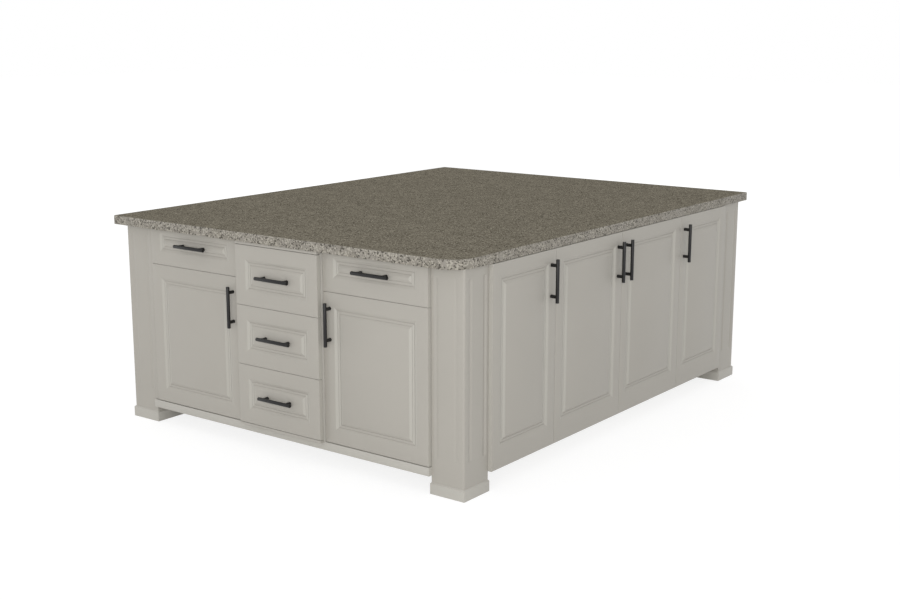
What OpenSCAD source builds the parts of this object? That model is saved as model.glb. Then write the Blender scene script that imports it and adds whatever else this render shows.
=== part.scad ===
// Kitchen island: a free-standing painted unit under a thick stone worktop.
// Four hollow corner posts stand on foot blocks. Between them the front run
// holds two drawer-over-door cabinets and a stack of three drawers that stands
// forward of them, and the side run holds a shallow cupboard, a double cupboard
// and a single cupboard. Panelled boards close the other two sides.
// Millimetres, +Z up. The front run faces -Y and the side run faces +X. The
// origin lies on the floor, under the middle of the whole unit's box.

/* [Worktop] */
// Height of the worktop's upper face above the floor
worktop_h = 914; // [890:1:940]
// Thickness of the worktop
worktop_t = 38; // [25:1:50]
// Overhang past the posts at the two ends, along X
end_overhang = 17; // [10:1:40]
// Overhang past the posts at the front and the back, along Y
side_overhang = 58; // [50:1:80]
// Radius of the worktop's corner between the front run and the side run
round_corner_r = 100; // [30:1:140]
// Radius of the worktop's other three corners
small_corner_r = 10; // [4:1:30]

/* [Posts] */
// Width over the corner posts, along X
body_w = 1834; // [1750:1:1950]
// Depth over the corner posts, along Y
body_d = 2258; // [2150:1:2400]
// Side of the square corner posts
post_w = 151; // [135:1:165]
// Wall of the hollow corner posts
post_wall = 25; // [20:1:32]
// Height of the foot blocks
block_h = 46; // [35:1:60]
// How far a foot block stands out past its post
block_proud = 5; // [3:1:9]
// Bevel along a foot block's upper edges
block_bevel = 3; // [1:0.5:3]
// Width of the two upright flutes in each outer face of a post
flute_w = 22; // [14:1:28]
// Depth of the flutes
flute_d = 5; // [3:0.5:7]
// Distance from a post's outer corner to the middle of the first flute
flute_corner = 34; // [28:1:42]
// Distance from a post's inner edge to the middle of the second flute
flute_inner = 27; // [24:1:40]
// Distance between the flutes and the worktop
flute_top = 34; // [20:1:60]
// Distance between the flutes and the foot block
flute_low = 94; // [60:1:130]

/* [Fronts] */
// Thickness of the doors and drawer fronts
front_t = 19; // [18:0.5:22]
// How far the doors and the side drawers stand out past the posts
front_proud = 17; // [10:0.5:18]
// How much further the stack of three drawers stands out
stack_proud = 30; // [20:1:40]
// Gap between two neighbouring fronts
front_gap = 1.5; // [1:0.5:4]
// Air between a closed front and the carcass behind it
front_air = 1.5; // [1:0.5:2.5]
// Width of the moulding between a frame and its panel
mould_w = 25; // [16:1:28]
// Depth of the moulding's deepest line
mould_d = 5; // [4:0.5:7]
// Depth of the panels below their frame
panel_sink = 2; // [1:0.5:3]
// Width of the plain frame around a front door's panel
frame_w = 57; // [45:1:80]
// Height of the frame above the panels of the two wide drawers
drawer_rail_top = 20; // [15:1:32]
// Height of the frame below the panels of the two wide drawers
drawer_rail_low = 54; // [40:1:65]
// Height of the frame above the side run's panels
side_rail_top = 51; // [40:1:80]
// Height of the frame below the side run's panels
side_rail_low = 98; // [60:1:130]

/* [Heights] */
// Lower edge of the front run's doors
front_door_z = 110; // [100:1:120]
// Height of the two wide drawers' fronts
wide_drawer_h = 153.5; // [145:0.5:190]
// Gap between the wide drawers and the worktop
drawer_top_gap = 4; // [3:0.5:8]
// Height of the rail between the stack's top drawer and the worktop
stack_rail_h = 12; // [8:1:25]
// Height of the rail below the stack's bottom drawer
stack_low_rail_h = 10; // [6:1:20]
// Lower edge of the side run's doors
side_door_z = 78.5; // [70:0.5:95]
// Gap between the side run's doors and the worktop
side_top_gap = 2; // [2:0.5:25]
// Height of the base rail under the front run
base_rail_h = 32; // [20:1:40]
// Depth of the base rail under the front run
base_rail_d = 80; // [40:1:120]

/* [Cabinets] */
// Width of the filler beside the left post
left_filler_w = 25; // [10:1:40]
// Width of the left cabinet
left_cab_w = 527; // [480:1:560]
// Width of the filler between the left cabinet and the stack
mid_filler_w = 15; // [8:1:30]
// Width of the stack of three drawers
stack_w = 447; // [400:1:480]
// Width of the side run's shallow cabinet, next to the near post
near_cab_w = 431; // [400:1:460]
// Width of the side run's single cabinet, next to the far post
far_cab_w = 451; // [420:1:480]
// Width of the filler beside the far post
far_filler_w = 32; // [10:1:50]
// How far the double cupboard's seam lies towards the near end of its middle
seam_shift = 6; // [0:1:20]
// Distance from the posts' side face to the back of the side run's cabinets
side_cab_back = 588; // [560:1:600]
// Thickness of the carcass boards, shelves and core boards
board_t = 18; // [16:1:19]
// Thickness of the carcass backs
back_t = 8; // [4:1:12]
// Thickness of the panels that close the plain sides
plain_t = 18; // [16:1:22]
// How far the plain panels lie behind the posts' faces
plain_setback = 10; // [2:1:20]

/* [Drawer boxes] */
// Length of the drawer boxes and of their runners
box_d = 500; // [450:10:520]
// Distance from a wide drawer front's upper edge down to its box
wide_headroom = 35; // [22:1:60]
// Distance from a stack drawer front's upper edge down to its box
stack_headroom = 68; // [30:1:120]
// Thickness of the drawer boxes' sides
box_side_t = 15; // [12:1:16]
// Thickness of the drawer boxes' bottoms
box_bottom_t = 10; // [6:1:12]
// Height of a drawer box above the lower edge of its front
box_lift = 18; // [14:1:24]
// Room for the runner at each side of a drawer box
runner_room = 13; // [12.5:0.1:14]
// Height of the channel that is fixed to the carcass
channel_h = 46; // [40:1:50]

/* [Pulls] */
// Length of a bar pull
pull_len = 182; // [160:1:200]
// Distance between the two legs of a bar pull
pull_pitch = 124; // [96:1:140]
// Diameter of the bar
pull_bar_d = 12.5; // [10:0.5:14]
// Diameter of the legs
pull_leg_d = 10; // [8:0.5:10]
// Distance from a front's face to the bar's axis
pull_stand = 30; // [25:0.5:40]
// Distance from a door's free edge to its pull's axis
pull_edge = 34; // [28:0.5:45]
// Distance from a front door's upper edge down to the middle of its pull
front_pull_drop = 126; // [105:1:180]
// Distance from a side door's upper edge down to the middle of its pull
side_pull_drop = 123; // [105:1:180]

/* [Hinges and legs] */
// Diameter of a hinge cup's bore in a door's back
cup_bore_d = 35; // [34:0.5:36]
// Depth of a hinge cup's bore
cup_bore_depth = 12.5; // [11:0.5:13.5]
// Distance from a door's hinged edge to the middle of its cups
cup_edge = 22.5; // [21:0.5:24.5]
// Distance from a door's lower and upper edges to the middle of its cups
cup_end = 95; // [75:1:120]
// Distance from the fronts to the first row of cabinet legs
leg_setback = 220; // [150:1:300]
// Diameter of the cabinet legs
leg_d = 32; // [25:1:40]

/* [Hidden] */
$fn = 96;

// Clearances and small sizes that pieces share
carcass_under = 2.5;     // a front run carcass starts this far below its doors
side_under = 0.5;        // a side run carcass starts this far below its doors
base_gap = 3.5;          // between the base rail and the cabinets above it
cabinet_gap = 12;        // between the front cabinets' backs and the double cabinet
rail_gap = 2;            // between the stack's drawers and its two rails
reveal = 1;              // from a cabinet's outer face to the edge of its front
stack_reveal = 0.5;      // the same on the stack
mould_flat = 2;          // flat strip along the moulding's deepest line
field_slope = 7;         // width of the slope from that strip up to the panel
flute_facets = 8;        // facets across a flute
filler_t = 40;           // depth of the filler strips
left_filler_back = 7;    // fillers stand this far behind the faces of the fronts
mid_filler_back = 3;
far_filler_back = 15;
shelf_play = 0.5;        // between a shelf's end and the carcass
shelf_setback = 20;      // from the carcass's front edge to a shelf
cleat = [10, 14, 5];     // shelf support: width, depth, height
cup_play = 0.2;          // radial play of a cup in its bore
cup_wall = 1.5;
cup_flange = [52, 24, 1.2];
arm_air = 0.5;           // between a cup's flange and its fixed arm
arm = [7.5, 64, 15];     // width, length, height
arm_plate = [3, 46, 52];
channel_t = 1.5;         // sheet of the fixed channels
channel_d = 9;           // depth of the fixed channels
member_play = 0.3;       // between a drawer's member and the fixed channel
member_plate_h = 34;
runner_front = 4;        // from a front's back face to its runners
cut_room = 1;            // cutters reach this far past the faces they cut

// Overall places, kept to whole hundredths so that faces that touch really meet
function hundredth(v) = round(v * 100) / 100;
under_z = worktop_h - worktop_t;
pull_reach = pull_stand + pull_bar_d / 2;
reach_x = max(end_overhang, front_proud + pull_reach);
reach_y = max(side_overhang, front_proud + stack_proud + pull_reach - panel_sink);
post_right = hundredth((body_w + end_overhang - reach_x) / 2);
post_left = post_right - body_w;
post_front = hundredth(-(body_d + side_overhang - reach_y) / 2);
post_back = post_front + body_d;

// Front run, measured from the left post's inner face
front_run = body_w - 2 * post_w;
left_x = left_filler_w;
stack_x = left_x + left_cab_w + mid_filler_w;
right_x = stack_x + stack_w;
right_cab_w = front_run - right_x;
front_low = front_door_z - carcass_under;
front_cab_back = post_w + near_cab_w - cabinet_gap;
front_back = front_proud + front_cab_back;

// Side run, measured from the near post's inner face
side_run = body_d - 2 * post_w;
double_x = near_cab_w;
double_w = side_run - near_cab_w - far_cab_w - far_filler_w;
far_x = double_x + double_w;
side_low = side_door_z - side_under;
side_back = front_proud + side_cab_back;
near_back = front_proud + post_w;
seam_x = double_x + double_w / 2 - seam_shift;

// Heights of the fronts
wide_low = under_z - drawer_top_gap - wide_drawer_h;
drawer_seam_z = wide_low - front_gap / 2;
front_door_h = drawer_seam_z - front_gap / 2 - front_door_z;
side_door_h = under_z - side_top_gap - side_door_z;
stack_top = under_z - stack_rail_h - rail_gap;
stack_low_z = front_low + stack_low_rail_h + rail_gap;
stack_h = (stack_top - stack_low_z - 2 * front_gap) / 3;
carcass_y = front_t + front_air;

// Drawers: run, place along the run, cabinet width, lower edge, height, reveal,
// headroom, rail below and above the panel
DRAWERS = [
    ["front", left_x, left_cab_w, wide_low, wide_drawer_h, reveal, wide_headroom,
     drawer_rail_low, drawer_rail_top],
    ["front", right_x, right_cab_w, wide_low, wide_drawer_h, reveal, wide_headroom,
     drawer_rail_low, drawer_rail_top],
    for (i = [2 : -1 : 0])
        ["stack", stack_x, stack_w, stack_low_z + i * (stack_h + front_gap), stack_h,
         stack_reveal, stack_headroom, frame_w, frame_w]
];

// Doors: run, left edge along the run, width, lower edge, height, hinge on the
// left, rail below and above the panel, drop from the upper edge to the pull
DOORS = [
    ["front", left_x + reveal, left_cab_w - 2 * reveal, front_door_z, front_door_h, true,
     frame_w, frame_w, front_pull_drop],
    ["front", right_x + reveal, right_cab_w - 2 * reveal, front_door_z, front_door_h, false,
     frame_w, frame_w, front_pull_drop],
    ["side", front_gap / 2, near_cab_w - front_gap, side_door_z, side_door_h, true,
     side_rail_low, side_rail_top, side_pull_drop],
    ["side", double_x + front_gap / 2, seam_x - double_x - front_gap, side_door_z,
     side_door_h, true, side_rail_low, side_rail_top, side_pull_drop],
    ["side", seam_x + front_gap / 2, far_x - seam_x - front_gap, side_door_z,
     side_door_h, false, side_rail_low, side_rail_top, side_pull_drop],
    ["side", far_x + front_gap / 2, far_cab_w - front_gap, side_door_z, side_door_h, false,
     side_rail_low, side_rail_top, side_pull_drop]
];

// ---- Places: each run has x along it and y going in from the fronts' faces ----

module on_run(run, x = 0, z = 0) {
    if (run == "side")
        translate([post_right + front_proud, post_front + post_w + x, z])
            rotate([0, 0, 90])
                children();
    else
        translate([post_left + post_w + x,
                   post_front - front_proud - (run == "stack" ? stack_proud : 0), z])
            children();
}

// ---- Shapes that repeat ----

// A block from y0 to y1 whose upright section shrinks by run for each millimetre
module sloped_block(x0, x1, z0, z1, y0, y1, run) {
    in = run * (y1 - y0);
    polyhedron(
        points = [[x0, y0, z0], [x1, y0, z0], [x1, y0, z1], [x0, y0, z1],
                  [x0 + in, y1, z0 + in], [x1 - in, y1, z0 + in],
                  [x1 - in, y1, z1 - in], [x0 + in, y1, z1 - in]],
        faces = [[3, 2, 1, 0], [4, 5, 6, 7],
                 for (i = [0 : 3]) [i, (i + 1) % 4, (i + 1) % 4 + 4, i + 4]]);
}

// What the moulding around one panel takes off a face at y = 0: it slopes down
// from the frame to its deepest line and up again to the panel, which is raised
module panel_cut(x0, x1, z0, z1) {
    down = (mould_w - field_slope - mould_flat) / mould_d;
    up = field_slope / (mould_d - panel_sink);
    out = down * cut_room;
    difference() {
        sloped_block(x0 - out, x1 + out, z0 - out, z1 + out, -cut_room, mould_d, down);
        sloped_block(x0 + mould_w, x1 - mould_w, z0 + mould_w, z1 - mould_w,
                     panel_sink, mould_d + cut_room, -up);
    }
}

// A door or a drawer front: one board with a moulded panel
module panelled_board(w, h, side, low, top) {
    difference() {
        cube([w, front_t, h]);
        panel_cut(side, w - side, low, h - top);
    }
}

module carcass(w, back, h, deck_z = 0) {
    inner_w = w - 2 * board_t;
    inner_d = back - back_t - carcass_y;
    low_h = deck_z > 0 ? deck_z - board_t : h - 2 * board_t;
    difference() {
        translate([0, carcass_y, 0])
            cube([w, back - carcass_y, h]);
        translate([board_t, carcass_y - cut_room, board_t])
            cube([inner_w, inner_d + cut_room, low_h]);
        if (deck_z > 0)
            translate([board_t, carcass_y - cut_room, deck_z + board_t])
                cube([inner_w, inner_d + cut_room, h - deck_z - 2 * board_t]);
    }
}

// A shelf with its four supports, seated against the carcass's sides
module shelf(w, back) {
    inner_w = w - 2 * board_t;
    shelf_d = back - back_t - carcass_y - shelf_setback - shelf_play;
    translate([board_t, carcass_y + shelf_setback, 0]) {
        translate([shelf_play, 0, 0])
            cube([inner_w - 2 * shelf_play, shelf_d, board_t]);
        for (x = [0, inner_w - cleat.x], y = [cleat.y, shelf_d - 2 * cleat.y])
            translate([x, y, -cleat.z])
                cube(cleat);
    }
}

// Bar pull along x, centred, standing out from a face at y = 0
module bar_pull() {
    translate([-pull_len / 2, -pull_stand, 0])
        rotate([0, 90, 0])
            cylinder(h = pull_len, d = pull_bar_d);
    for (side = [-1, 1])
        translate([side * pull_pitch / 2, 0, 0])
            rotate([90, 0, 0])
                cylinder(h = pull_stand, d = pull_leg_d);
}

// Channel against a carcass side at x = 0, open towards +x
module channel() {
    translate([0, carcass_y + runner_front, -channel_h / 2])
        difference() {
            cube([channel_d, box_d - runner_front, channel_h]);
            translate([channel_t, -cut_room, channel_t])
                cube([channel_d, box_d + 2 * cut_room, channel_h - 2 * channel_t]);
        }
}

// Member on a drawer box side at x = runner_room, running inside the channel
module runner_member() {
    inner_h = channel_h - 2 * (channel_t + member_play);
    web_h = inner_h / 3;
    lip = channel_t + member_play;
    plate_t = runner_room - channel_d - member_play;
    translate([0, carcass_y + runner_front, 0]) {
        translate([lip, 0, -inner_h / 2])
            cube([channel_t, box_d - runner_front - front_air, inner_h]);
        translate([lip, 0, -web_h / 2])
            cube([runner_room - lip, box_d - runner_front - front_air, web_h]);
        translate([runner_room - plate_t, 0, -member_plate_h / 2])
            cube([plate_t, box_d - runner_front - front_air, member_plate_h]);
    }
}

// ---- Drawers: i picks one entry of DRAWERS ----

module on_drawer(i) on_run(DRAWERS[i][0], DRAWERS[i][1], DRAWERS[i][3]) children();

module drawer_front(i) {
    d = DRAWERS[i];
    on_drawer(i)
        translate([d[5], 0, 0])
            panelled_board(d[2] - 2 * d[5], d[4], frame_w, d[7], d[8]);
}

function box_h(i) = DRAWERS[i][4] - box_lift - DRAWERS[i][6];

module drawer_box(i) {
    w = DRAWERS[i][2] - 2 * (board_t + runner_room);
    on_drawer(i)
        translate([board_t + runner_room, front_t, box_lift])
            difference() {
                cube([w, box_d, box_h(i)]);
                translate([box_side_t, box_side_t, box_bottom_t])
                    cube([w - 2 * box_side_t, box_d - 2 * box_side_t, box_h(i)]);
            }
}

// A drawer's pull stands in the middle of its panel
module drawer_pull(i) {
    d = DRAWERS[i];
    on_drawer(i)
        translate([d[2] / 2, panel_sink, (d[4] + d[7] - d[8]) / 2])
            bar_pull();
}

// Both sides of a drawer's runners; fixed picks the channels
module drawer_slides(i, fixed) {
    on_drawer(i)
        for (side = [0, 1])
            translate([side * DRAWERS[i][2], 0, box_lift + box_h(i) / 2])
                mirror([side, 0, 0])
                    translate([board_t, 0, 0]) {
                        if (fixed) channel();
                        else runner_member();
                    }
}

// ---- Doors: i picks one entry of DOORS ----

module on_door(i) on_run(DOORS[i][0], DOORS[i][1], DOORS[i][3]) children();

// Places something at both hinges of door i, with x going in from its hinged edge
module at_hinges(i) {
    d = DOORS[i];
    on_door(i)
        for (z = [cup_end, d[4] - cup_end])
            translate([d[5] ? 0 : d[2], 0, z])
                mirror([d[5] ? 0 : 1, 0, 0])
                    children();
}

module door_board(i) {
    d = DOORS[i];
    color("#b0ada4")
        difference() {
            on_door(i)
                panelled_board(d[2], d[4], frame_w, d[6], d[7]);
            at_hinges(i)
                translate([cup_edge, front_t + cut_room, 0])
                    rotate([90, 0, 0])
                        cylinder(h = cup_bore_depth + cut_room, d = cup_bore_d);
        }
}

module door_pull(i) {
    d = DOORS[i];
    color("#1c1b1a")
        on_door(i)
            translate([d[5] ? d[2] - pull_edge : pull_edge, 0, d[4] - d[8]])
                rotate([0, 90, 0])
                    bar_pull();
}

// Hinge cup with its flange on the door's back
module hinge_cup() {
    cup_r = cup_bore_d / 2 - cup_play;
    translate([cup_edge, front_t + cup_flange.z, 0])
        rotate([90, 0, 0])
            difference() {
                union() {
                    cylinder(h = cup_flange.z + cup_bore_depth - cup_play, r = cup_r);
                    translate([-cup_flange.y / 2, -cup_flange.x / 2, 0])
                        cube([cup_flange.y, cup_flange.x, cup_flange.z]);
                }
                translate([0, 0, -cut_room])
                    cylinder(h = cup_flange.z + cup_bore_depth - cup_play - cup_wall
                                 + cut_room, r = cup_r - cup_wall);
            }
}

module door_cups(i) color("#a9abad") at_hinges(i) hinge_cup();

// Arm and plate on the carcass's side, with x going in from a door's hinged edge
module hinge_arm(inset) {
    translate([inset, front_t + cup_flange.z + arm_air, 0]) {
        translate([0, arm.y - arm_plate.y, -arm_plate.z / 2])
            cube(arm_plate);
        translate([0, 0, -arm.z / 2])
            cube([arm_plate.x + arm.x, arm.y, arm.z]);
    }
}

// ---- Sub-parts ----

module worktop() {
    x0 = post_left - end_overhang;
    x1 = post_right + end_overhang;
    y0 = post_front - side_overhang;
    y1 = post_back + side_overhang;
    color("#6f6c60")
        translate([0, 0, under_z])
            linear_extrude(worktop_t)
                difference() {
                    translate([x0, y0])
                        square([x1 - x0, y1 - y0]);
                    corner_cut(x1, y0, -1, 1, round_corner_r);
                    corner_cut(x0, y0, 1, 1, small_corner_r);
                    corner_cut(x0, y1, 1, -1, small_corner_r);
                    corner_cut(x1, y1, -1, -1, small_corner_r);
                }
}

// What a rounding of radius r takes off the corner at x, y
module corner_cut(x, y, to_x, to_y, r) {
    translate([x, y])
        mirror([to_x < 0 ? 1 : 0, 0])
            mirror([0, to_y < 0 ? 1 : 0])
                difference() {
                    translate([-cut_room, -cut_room])
                        square(r + cut_room);
                    translate([r, r])
                        circle(r);
                }
}

// Space of an upright flute, cut into a face at y = 0 with its middle at x
module flute(x) {
    r = (pow(flute_w / 2, 2) + pow(flute_d, 2)) / (2 * flute_d);
    half = asin(flute_w / 2 / r);
    translate([x, 0, block_h + flute_low])
        linear_extrude(under_z - flute_top - block_h - flute_low)
            polygon([
                [flute_w / 2, -cut_room], [-flute_w / 2, -cut_room],
                for (i = [0 : flute_facets])
                    let (a = half * (2 * i / flute_facets - 1))
                        [r * sin(a), flute_d - r + r * cos(a)]
            ]);
}

// Post with its outer faces at x = 0 (facing +X) and y = 0 (facing -Y)
module post_shape() {
    color("#b0ada4")
        difference() {
            translate([-post_w, 0, block_h])
                cube([post_w, post_w, under_z - block_h]);
            translate([post_wall - post_w, post_wall, block_h - cut_room])
                cube([post_w - 2 * post_wall, post_w - 2 * post_wall,
                      under_z - block_h + 2 * cut_room]);
            for (x = [flute_corner, post_w - flute_inner]) {
                flute(-x);
                rotate([0, 0, 90])
                    flute(x);
            }
        }
}

module post_near_right() translate([post_right, post_front, 0]) post_shape();
module post_near_left() translate([post_left, post_front, 0]) mirror([1, 0, 0]) post_shape();
module post_far_right() translate([post_right, post_back, 0]) mirror([0, 1, 0]) post_shape();
module post_far_left() translate([post_left, post_back, 0]) rotate([0, 0, 180]) post_shape();

module foot_blocks() {
    side = post_w + 2 * block_proud;
    color("#b0ada4")
        for (x = [post_left + post_w / 2, post_right - post_w / 2],
             y = [post_front + post_w / 2, post_back - post_w / 2])
            translate([x, y, 0])
                hull() {
                    translate([-side / 2, -side / 2, 0])
                        cube([side, side, block_h - block_bevel]);
                    translate([block_bevel - side / 2, block_bevel - side / 2, 0])
                        cube([side - 2 * block_bevel, side - 2 * block_bevel, block_h]);
                }
}

module carcass_left() {
    color("#cfcbc0")
        on_run("front", left_x, front_low)
            carcass(left_cab_w, front_back, under_z - front_low,
                    drawer_seam_z - board_t / 2 - front_low);
}

module carcass_right() {
    color("#cfcbc0")
        on_run("front", right_x, front_low)
            carcass(right_cab_w, front_back, under_z - front_low,
                    drawer_seam_z - board_t / 2 - front_low);
}

module carcass_stack() {
    color("#cfcbc0")
        on_run("stack", stack_x, front_low)
            carcass(stack_w, front_back + stack_proud, under_z - front_low);
}

module carcass_near() {
    color("#cfcbc0")
        on_run("side", 0, side_low)
            carcass(near_cab_w, near_back, under_z - side_low);
}

module carcass_double() {
    color("#cfcbc0")
        on_run("side", double_x, side_low)
            carcass(double_w, side_back, under_z - side_low);
}

module carcass_far() {
    color("#cfcbc0")
        on_run("side", far_x, side_low)
            carcass(far_cab_w, side_back, under_z - side_low);
}

module shelves() {
    front_mid = (front_low + drawer_seam_z) / 2;
    side_h = under_z - side_low;
    color("#cfcbc0") {
        on_run("front", left_x, front_mid) shelf(left_cab_w, front_back);
        on_run("front", right_x, front_mid) shelf(right_cab_w, front_back);
        for (share = [1 / 3, 2 / 3])
            on_run("side", 0, side_low + side_h * share) shelf(near_cab_w, near_back);
        on_run("side", double_x, side_low + side_h / 2) shelf(double_w, side_back);
        on_run("side", far_x, side_low + side_h / 2) shelf(far_cab_w, side_back);
    }
}

module base_rail() {
    color("#b0ada4")
        on_run("front", 0, front_low - base_gap - base_rail_h)
            cube([front_run, base_rail_d, base_rail_h]);
}

module stack_rails() {
    color("#b0ada4")
        on_run("stack", stack_x) {
            translate([0, 0, under_z - stack_rail_h])
                cube([stack_w, carcass_y, stack_rail_h]);
            translate([0, 0, front_low])
                cube([stack_w, carcass_y, stack_low_rail_h]);
        }
}

module fillers() {
    color("#b0ada4") {
        on_run("front", 0, front_low)
            translate([0, left_filler_back, 0])
                cube([left_filler_w, filler_t, under_z - front_low]);
        on_run("front", left_x + left_cab_w, front_low)
            translate([0, mid_filler_back, 0])
                cube([mid_filler_w, filler_t, under_z - front_low]);
        on_run("side", far_x + far_cab_w, side_low)
            translate([0, far_filler_back, 0])
                cube([far_filler_w, filler_t, under_z - side_low]);
    }
}

// A closing board along x with a row of count panels, its face at y = 0
module plain_panel(length, count) {
    pitch = (length - frame_w) / count;
    h = under_z - side_low;
    difference() {
        cube([length, plain_t, h]);
        for (i = [0 : count - 1])
            panel_cut(frame_w + i * pitch, (i + 1) * pitch, side_rail_low, h - side_rail_top);
    }
}

module back_panel() {
    color("#b0ada4")
        translate([post_right - post_w, post_back - plain_setback, side_low])
            rotate([0, 0, 180])
                plain_panel(front_run, 3);
}

module end_panel() {
    color("#b0ada4")
        translate([post_left + plain_setback, post_back - post_w, side_low])
            rotate([0, 0, -90])
                plain_panel(side_run, 4);
}

// Two crossed boards that carry the worktop over the hollow core
module core_boards() {
    x0 = post_left + plain_setback + plain_t;
    x1 = post_right - side_cab_back;
    y0 = post_front + front_cab_back;
    y1 = post_back - plain_setback - plain_t;
    color("#c9a66b") {
        translate([(x0 + x1 - board_t) / 2, y0, 0])
            cube([board_t, y1 - y0, under_z]);
        translate([x0, (y0 + y1 - board_t) / 2, 0])
            cube([x1 - x0, board_t, under_z]);
    }
}

// Four legs under a cabinet of width w that stands h above the floor
module leg_set(w, back, h) {
    foot_h = 10;
    plate_h = 5;
    edge = 60;
    for (x = [edge, w - edge], y = [leg_setback, back - edge])
        translate([x, y, 0]) {
            cylinder(h = h, d = leg_d);
            cylinder(h = foot_h, d = leg_d * 1.5);
            translate([0, 0, h - plate_h])
                cylinder(h = plate_h, d = leg_d * 1.8);
        }
}

module cabinet_legs() {
    color("#2b2b2b") {
        on_run("front", left_x) leg_set(left_cab_w, front_back, front_low);
        on_run("front", stack_x) leg_set(stack_w, front_back, front_low);
        on_run("front", right_x) leg_set(right_cab_w, front_back, front_low);
        on_run("side", double_x) leg_set(double_w, side_back, side_low);
        on_run("side", far_x) leg_set(far_cab_w, side_back, side_low);
    }
}

module runner_channels() {
    color("#a9abad")
        for (i = [0 : len(DRAWERS) - 1])
            drawer_slides(i, true);
}

module hinge_arms() {
    color("#a9abad")
        for (i = [0 : len(DOORS) - 1])
            at_hinges(i)
                hinge_arm(board_t - (DOORS[i][0] == "front" ? reveal : front_gap / 2));
}

module painted_front(i) color("#b0ada4") drawer_front(i);
module birch_box(i) color("#d9c49a") drawer_box(i);
module black_pull(i) color("#1c1b1a") drawer_pull(i);
module steel_runners(i) color("#a9abad") drawer_slides(i, false);

module drawer_left_front() painted_front(0);
module drawer_left_box() birch_box(0);
module drawer_left_pull() black_pull(0);
module drawer_left_runners() steel_runners(0);
module drawer_right_front() painted_front(1);
module drawer_right_box() birch_box(1);
module drawer_right_pull() black_pull(1);
module drawer_right_runners() steel_runners(1);
module drawer_top_front() painted_front(2);
module drawer_top_box() birch_box(2);
module drawer_top_pull() black_pull(2);
module drawer_top_runners() steel_runners(2);
module drawer_middle_front() painted_front(3);
module drawer_middle_box() birch_box(3);
module drawer_middle_pull() black_pull(3);
module drawer_middle_runners() steel_runners(3);
module drawer_bottom_front() painted_front(4);
module drawer_bottom_box() birch_box(4);
module drawer_bottom_pull() black_pull(4);
module drawer_bottom_runners() steel_runners(4);

module door_left() door_board(0);
module door_left_pull() door_pull(0);
module door_left_cups() door_cups(0);
module door_right() door_board(1);
module door_right_pull() door_pull(1);
module door_right_cups() door_cups(1);
module door_near() door_board(2);
module door_near_pull() door_pull(2);
module door_near_cups() door_cups(2);
module door_double_near() door_board(3);
module door_double_near_pull() door_pull(3);
module door_double_near_cups() door_cups(3);
module door_double_far() door_board(4);
module door_double_far_pull() door_pull(4);
module door_double_far_cups() door_cups(4);
module door_far() door_board(5);
module door_far_pull() door_pull(5);
module door_far_cups() door_cups(5);

worktop();
post_near_right();
post_near_left();
post_far_right();
post_far_left();
foot_blocks();
carcass_left();
carcass_stack();
carcass_right();
carcass_near();
carcass_double();
carcass_far();
shelves();
base_rail();
stack_rails();
fillers();
back_panel();
end_panel();
core_boards();
cabinet_legs();
runner_channels();
hinge_arms();
drawer_left_front();
drawer_left_box();
drawer_left_pull();
drawer_left_runners();
drawer_right_front();
drawer_right_box();
drawer_right_pull();
drawer_right_runners();
drawer_top_front();
drawer_top_box();
drawer_top_pull();
drawer_top_runners();
drawer_middle_front();
drawer_middle_box();
drawer_middle_pull();
drawer_middle_runners();
drawer_bottom_front();
drawer_bottom_box();
drawer_bottom_pull();
drawer_bottom_runners();
door_left();
door_left_pull();
door_left_cups();
door_right();
door_right_pull();
door_right_cups();
door_near();
door_near_pull();
door_near_cups();
door_double_near();
door_double_near_pull();
door_double_near_cups();
door_double_far();
door_double_far_pull();
door_double_far_cups();
door_far();
door_far_pull();
door_far_cups();
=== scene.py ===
import math

import bmesh
import bpy
from mathutils import Matrix, Vector
from mathutils.geometry import tessellate_polygon


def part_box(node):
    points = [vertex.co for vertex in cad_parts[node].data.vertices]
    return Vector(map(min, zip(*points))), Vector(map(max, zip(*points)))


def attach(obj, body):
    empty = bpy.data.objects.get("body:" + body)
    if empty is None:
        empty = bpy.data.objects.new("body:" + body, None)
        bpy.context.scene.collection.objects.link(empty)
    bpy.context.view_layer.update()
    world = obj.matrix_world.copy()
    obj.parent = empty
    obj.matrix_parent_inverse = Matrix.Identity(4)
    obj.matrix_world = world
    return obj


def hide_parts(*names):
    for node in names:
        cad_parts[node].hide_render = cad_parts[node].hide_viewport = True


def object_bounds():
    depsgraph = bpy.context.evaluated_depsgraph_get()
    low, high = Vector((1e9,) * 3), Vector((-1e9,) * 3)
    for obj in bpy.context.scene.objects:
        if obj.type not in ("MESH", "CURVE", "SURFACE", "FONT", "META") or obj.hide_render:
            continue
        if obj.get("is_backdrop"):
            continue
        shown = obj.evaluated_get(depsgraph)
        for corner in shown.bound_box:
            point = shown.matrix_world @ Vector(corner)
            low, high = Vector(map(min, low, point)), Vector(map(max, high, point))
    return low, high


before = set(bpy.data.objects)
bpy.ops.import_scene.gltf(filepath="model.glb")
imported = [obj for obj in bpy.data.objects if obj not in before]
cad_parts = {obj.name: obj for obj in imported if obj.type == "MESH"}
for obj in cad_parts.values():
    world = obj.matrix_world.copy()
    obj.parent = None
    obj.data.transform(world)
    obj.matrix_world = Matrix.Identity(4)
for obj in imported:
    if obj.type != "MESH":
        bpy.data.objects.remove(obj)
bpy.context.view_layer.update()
scene = bpy.context.scene
mm = 0.001
print("frame loaded with", len(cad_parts), "nodes")


def addNode(tree, kind, inputs=None, **settings):
    node = tree.nodes.new(kind)
    for key, value in settings.items():
        setattr(node, key, value)
    for key, value in (inputs or {}).items():
        if isinstance(value, bpy.types.NodeSocket):
            tree.links.new(value, node.inputs[key])
        else:
            node.inputs[key].default_value = value
    return node


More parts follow.
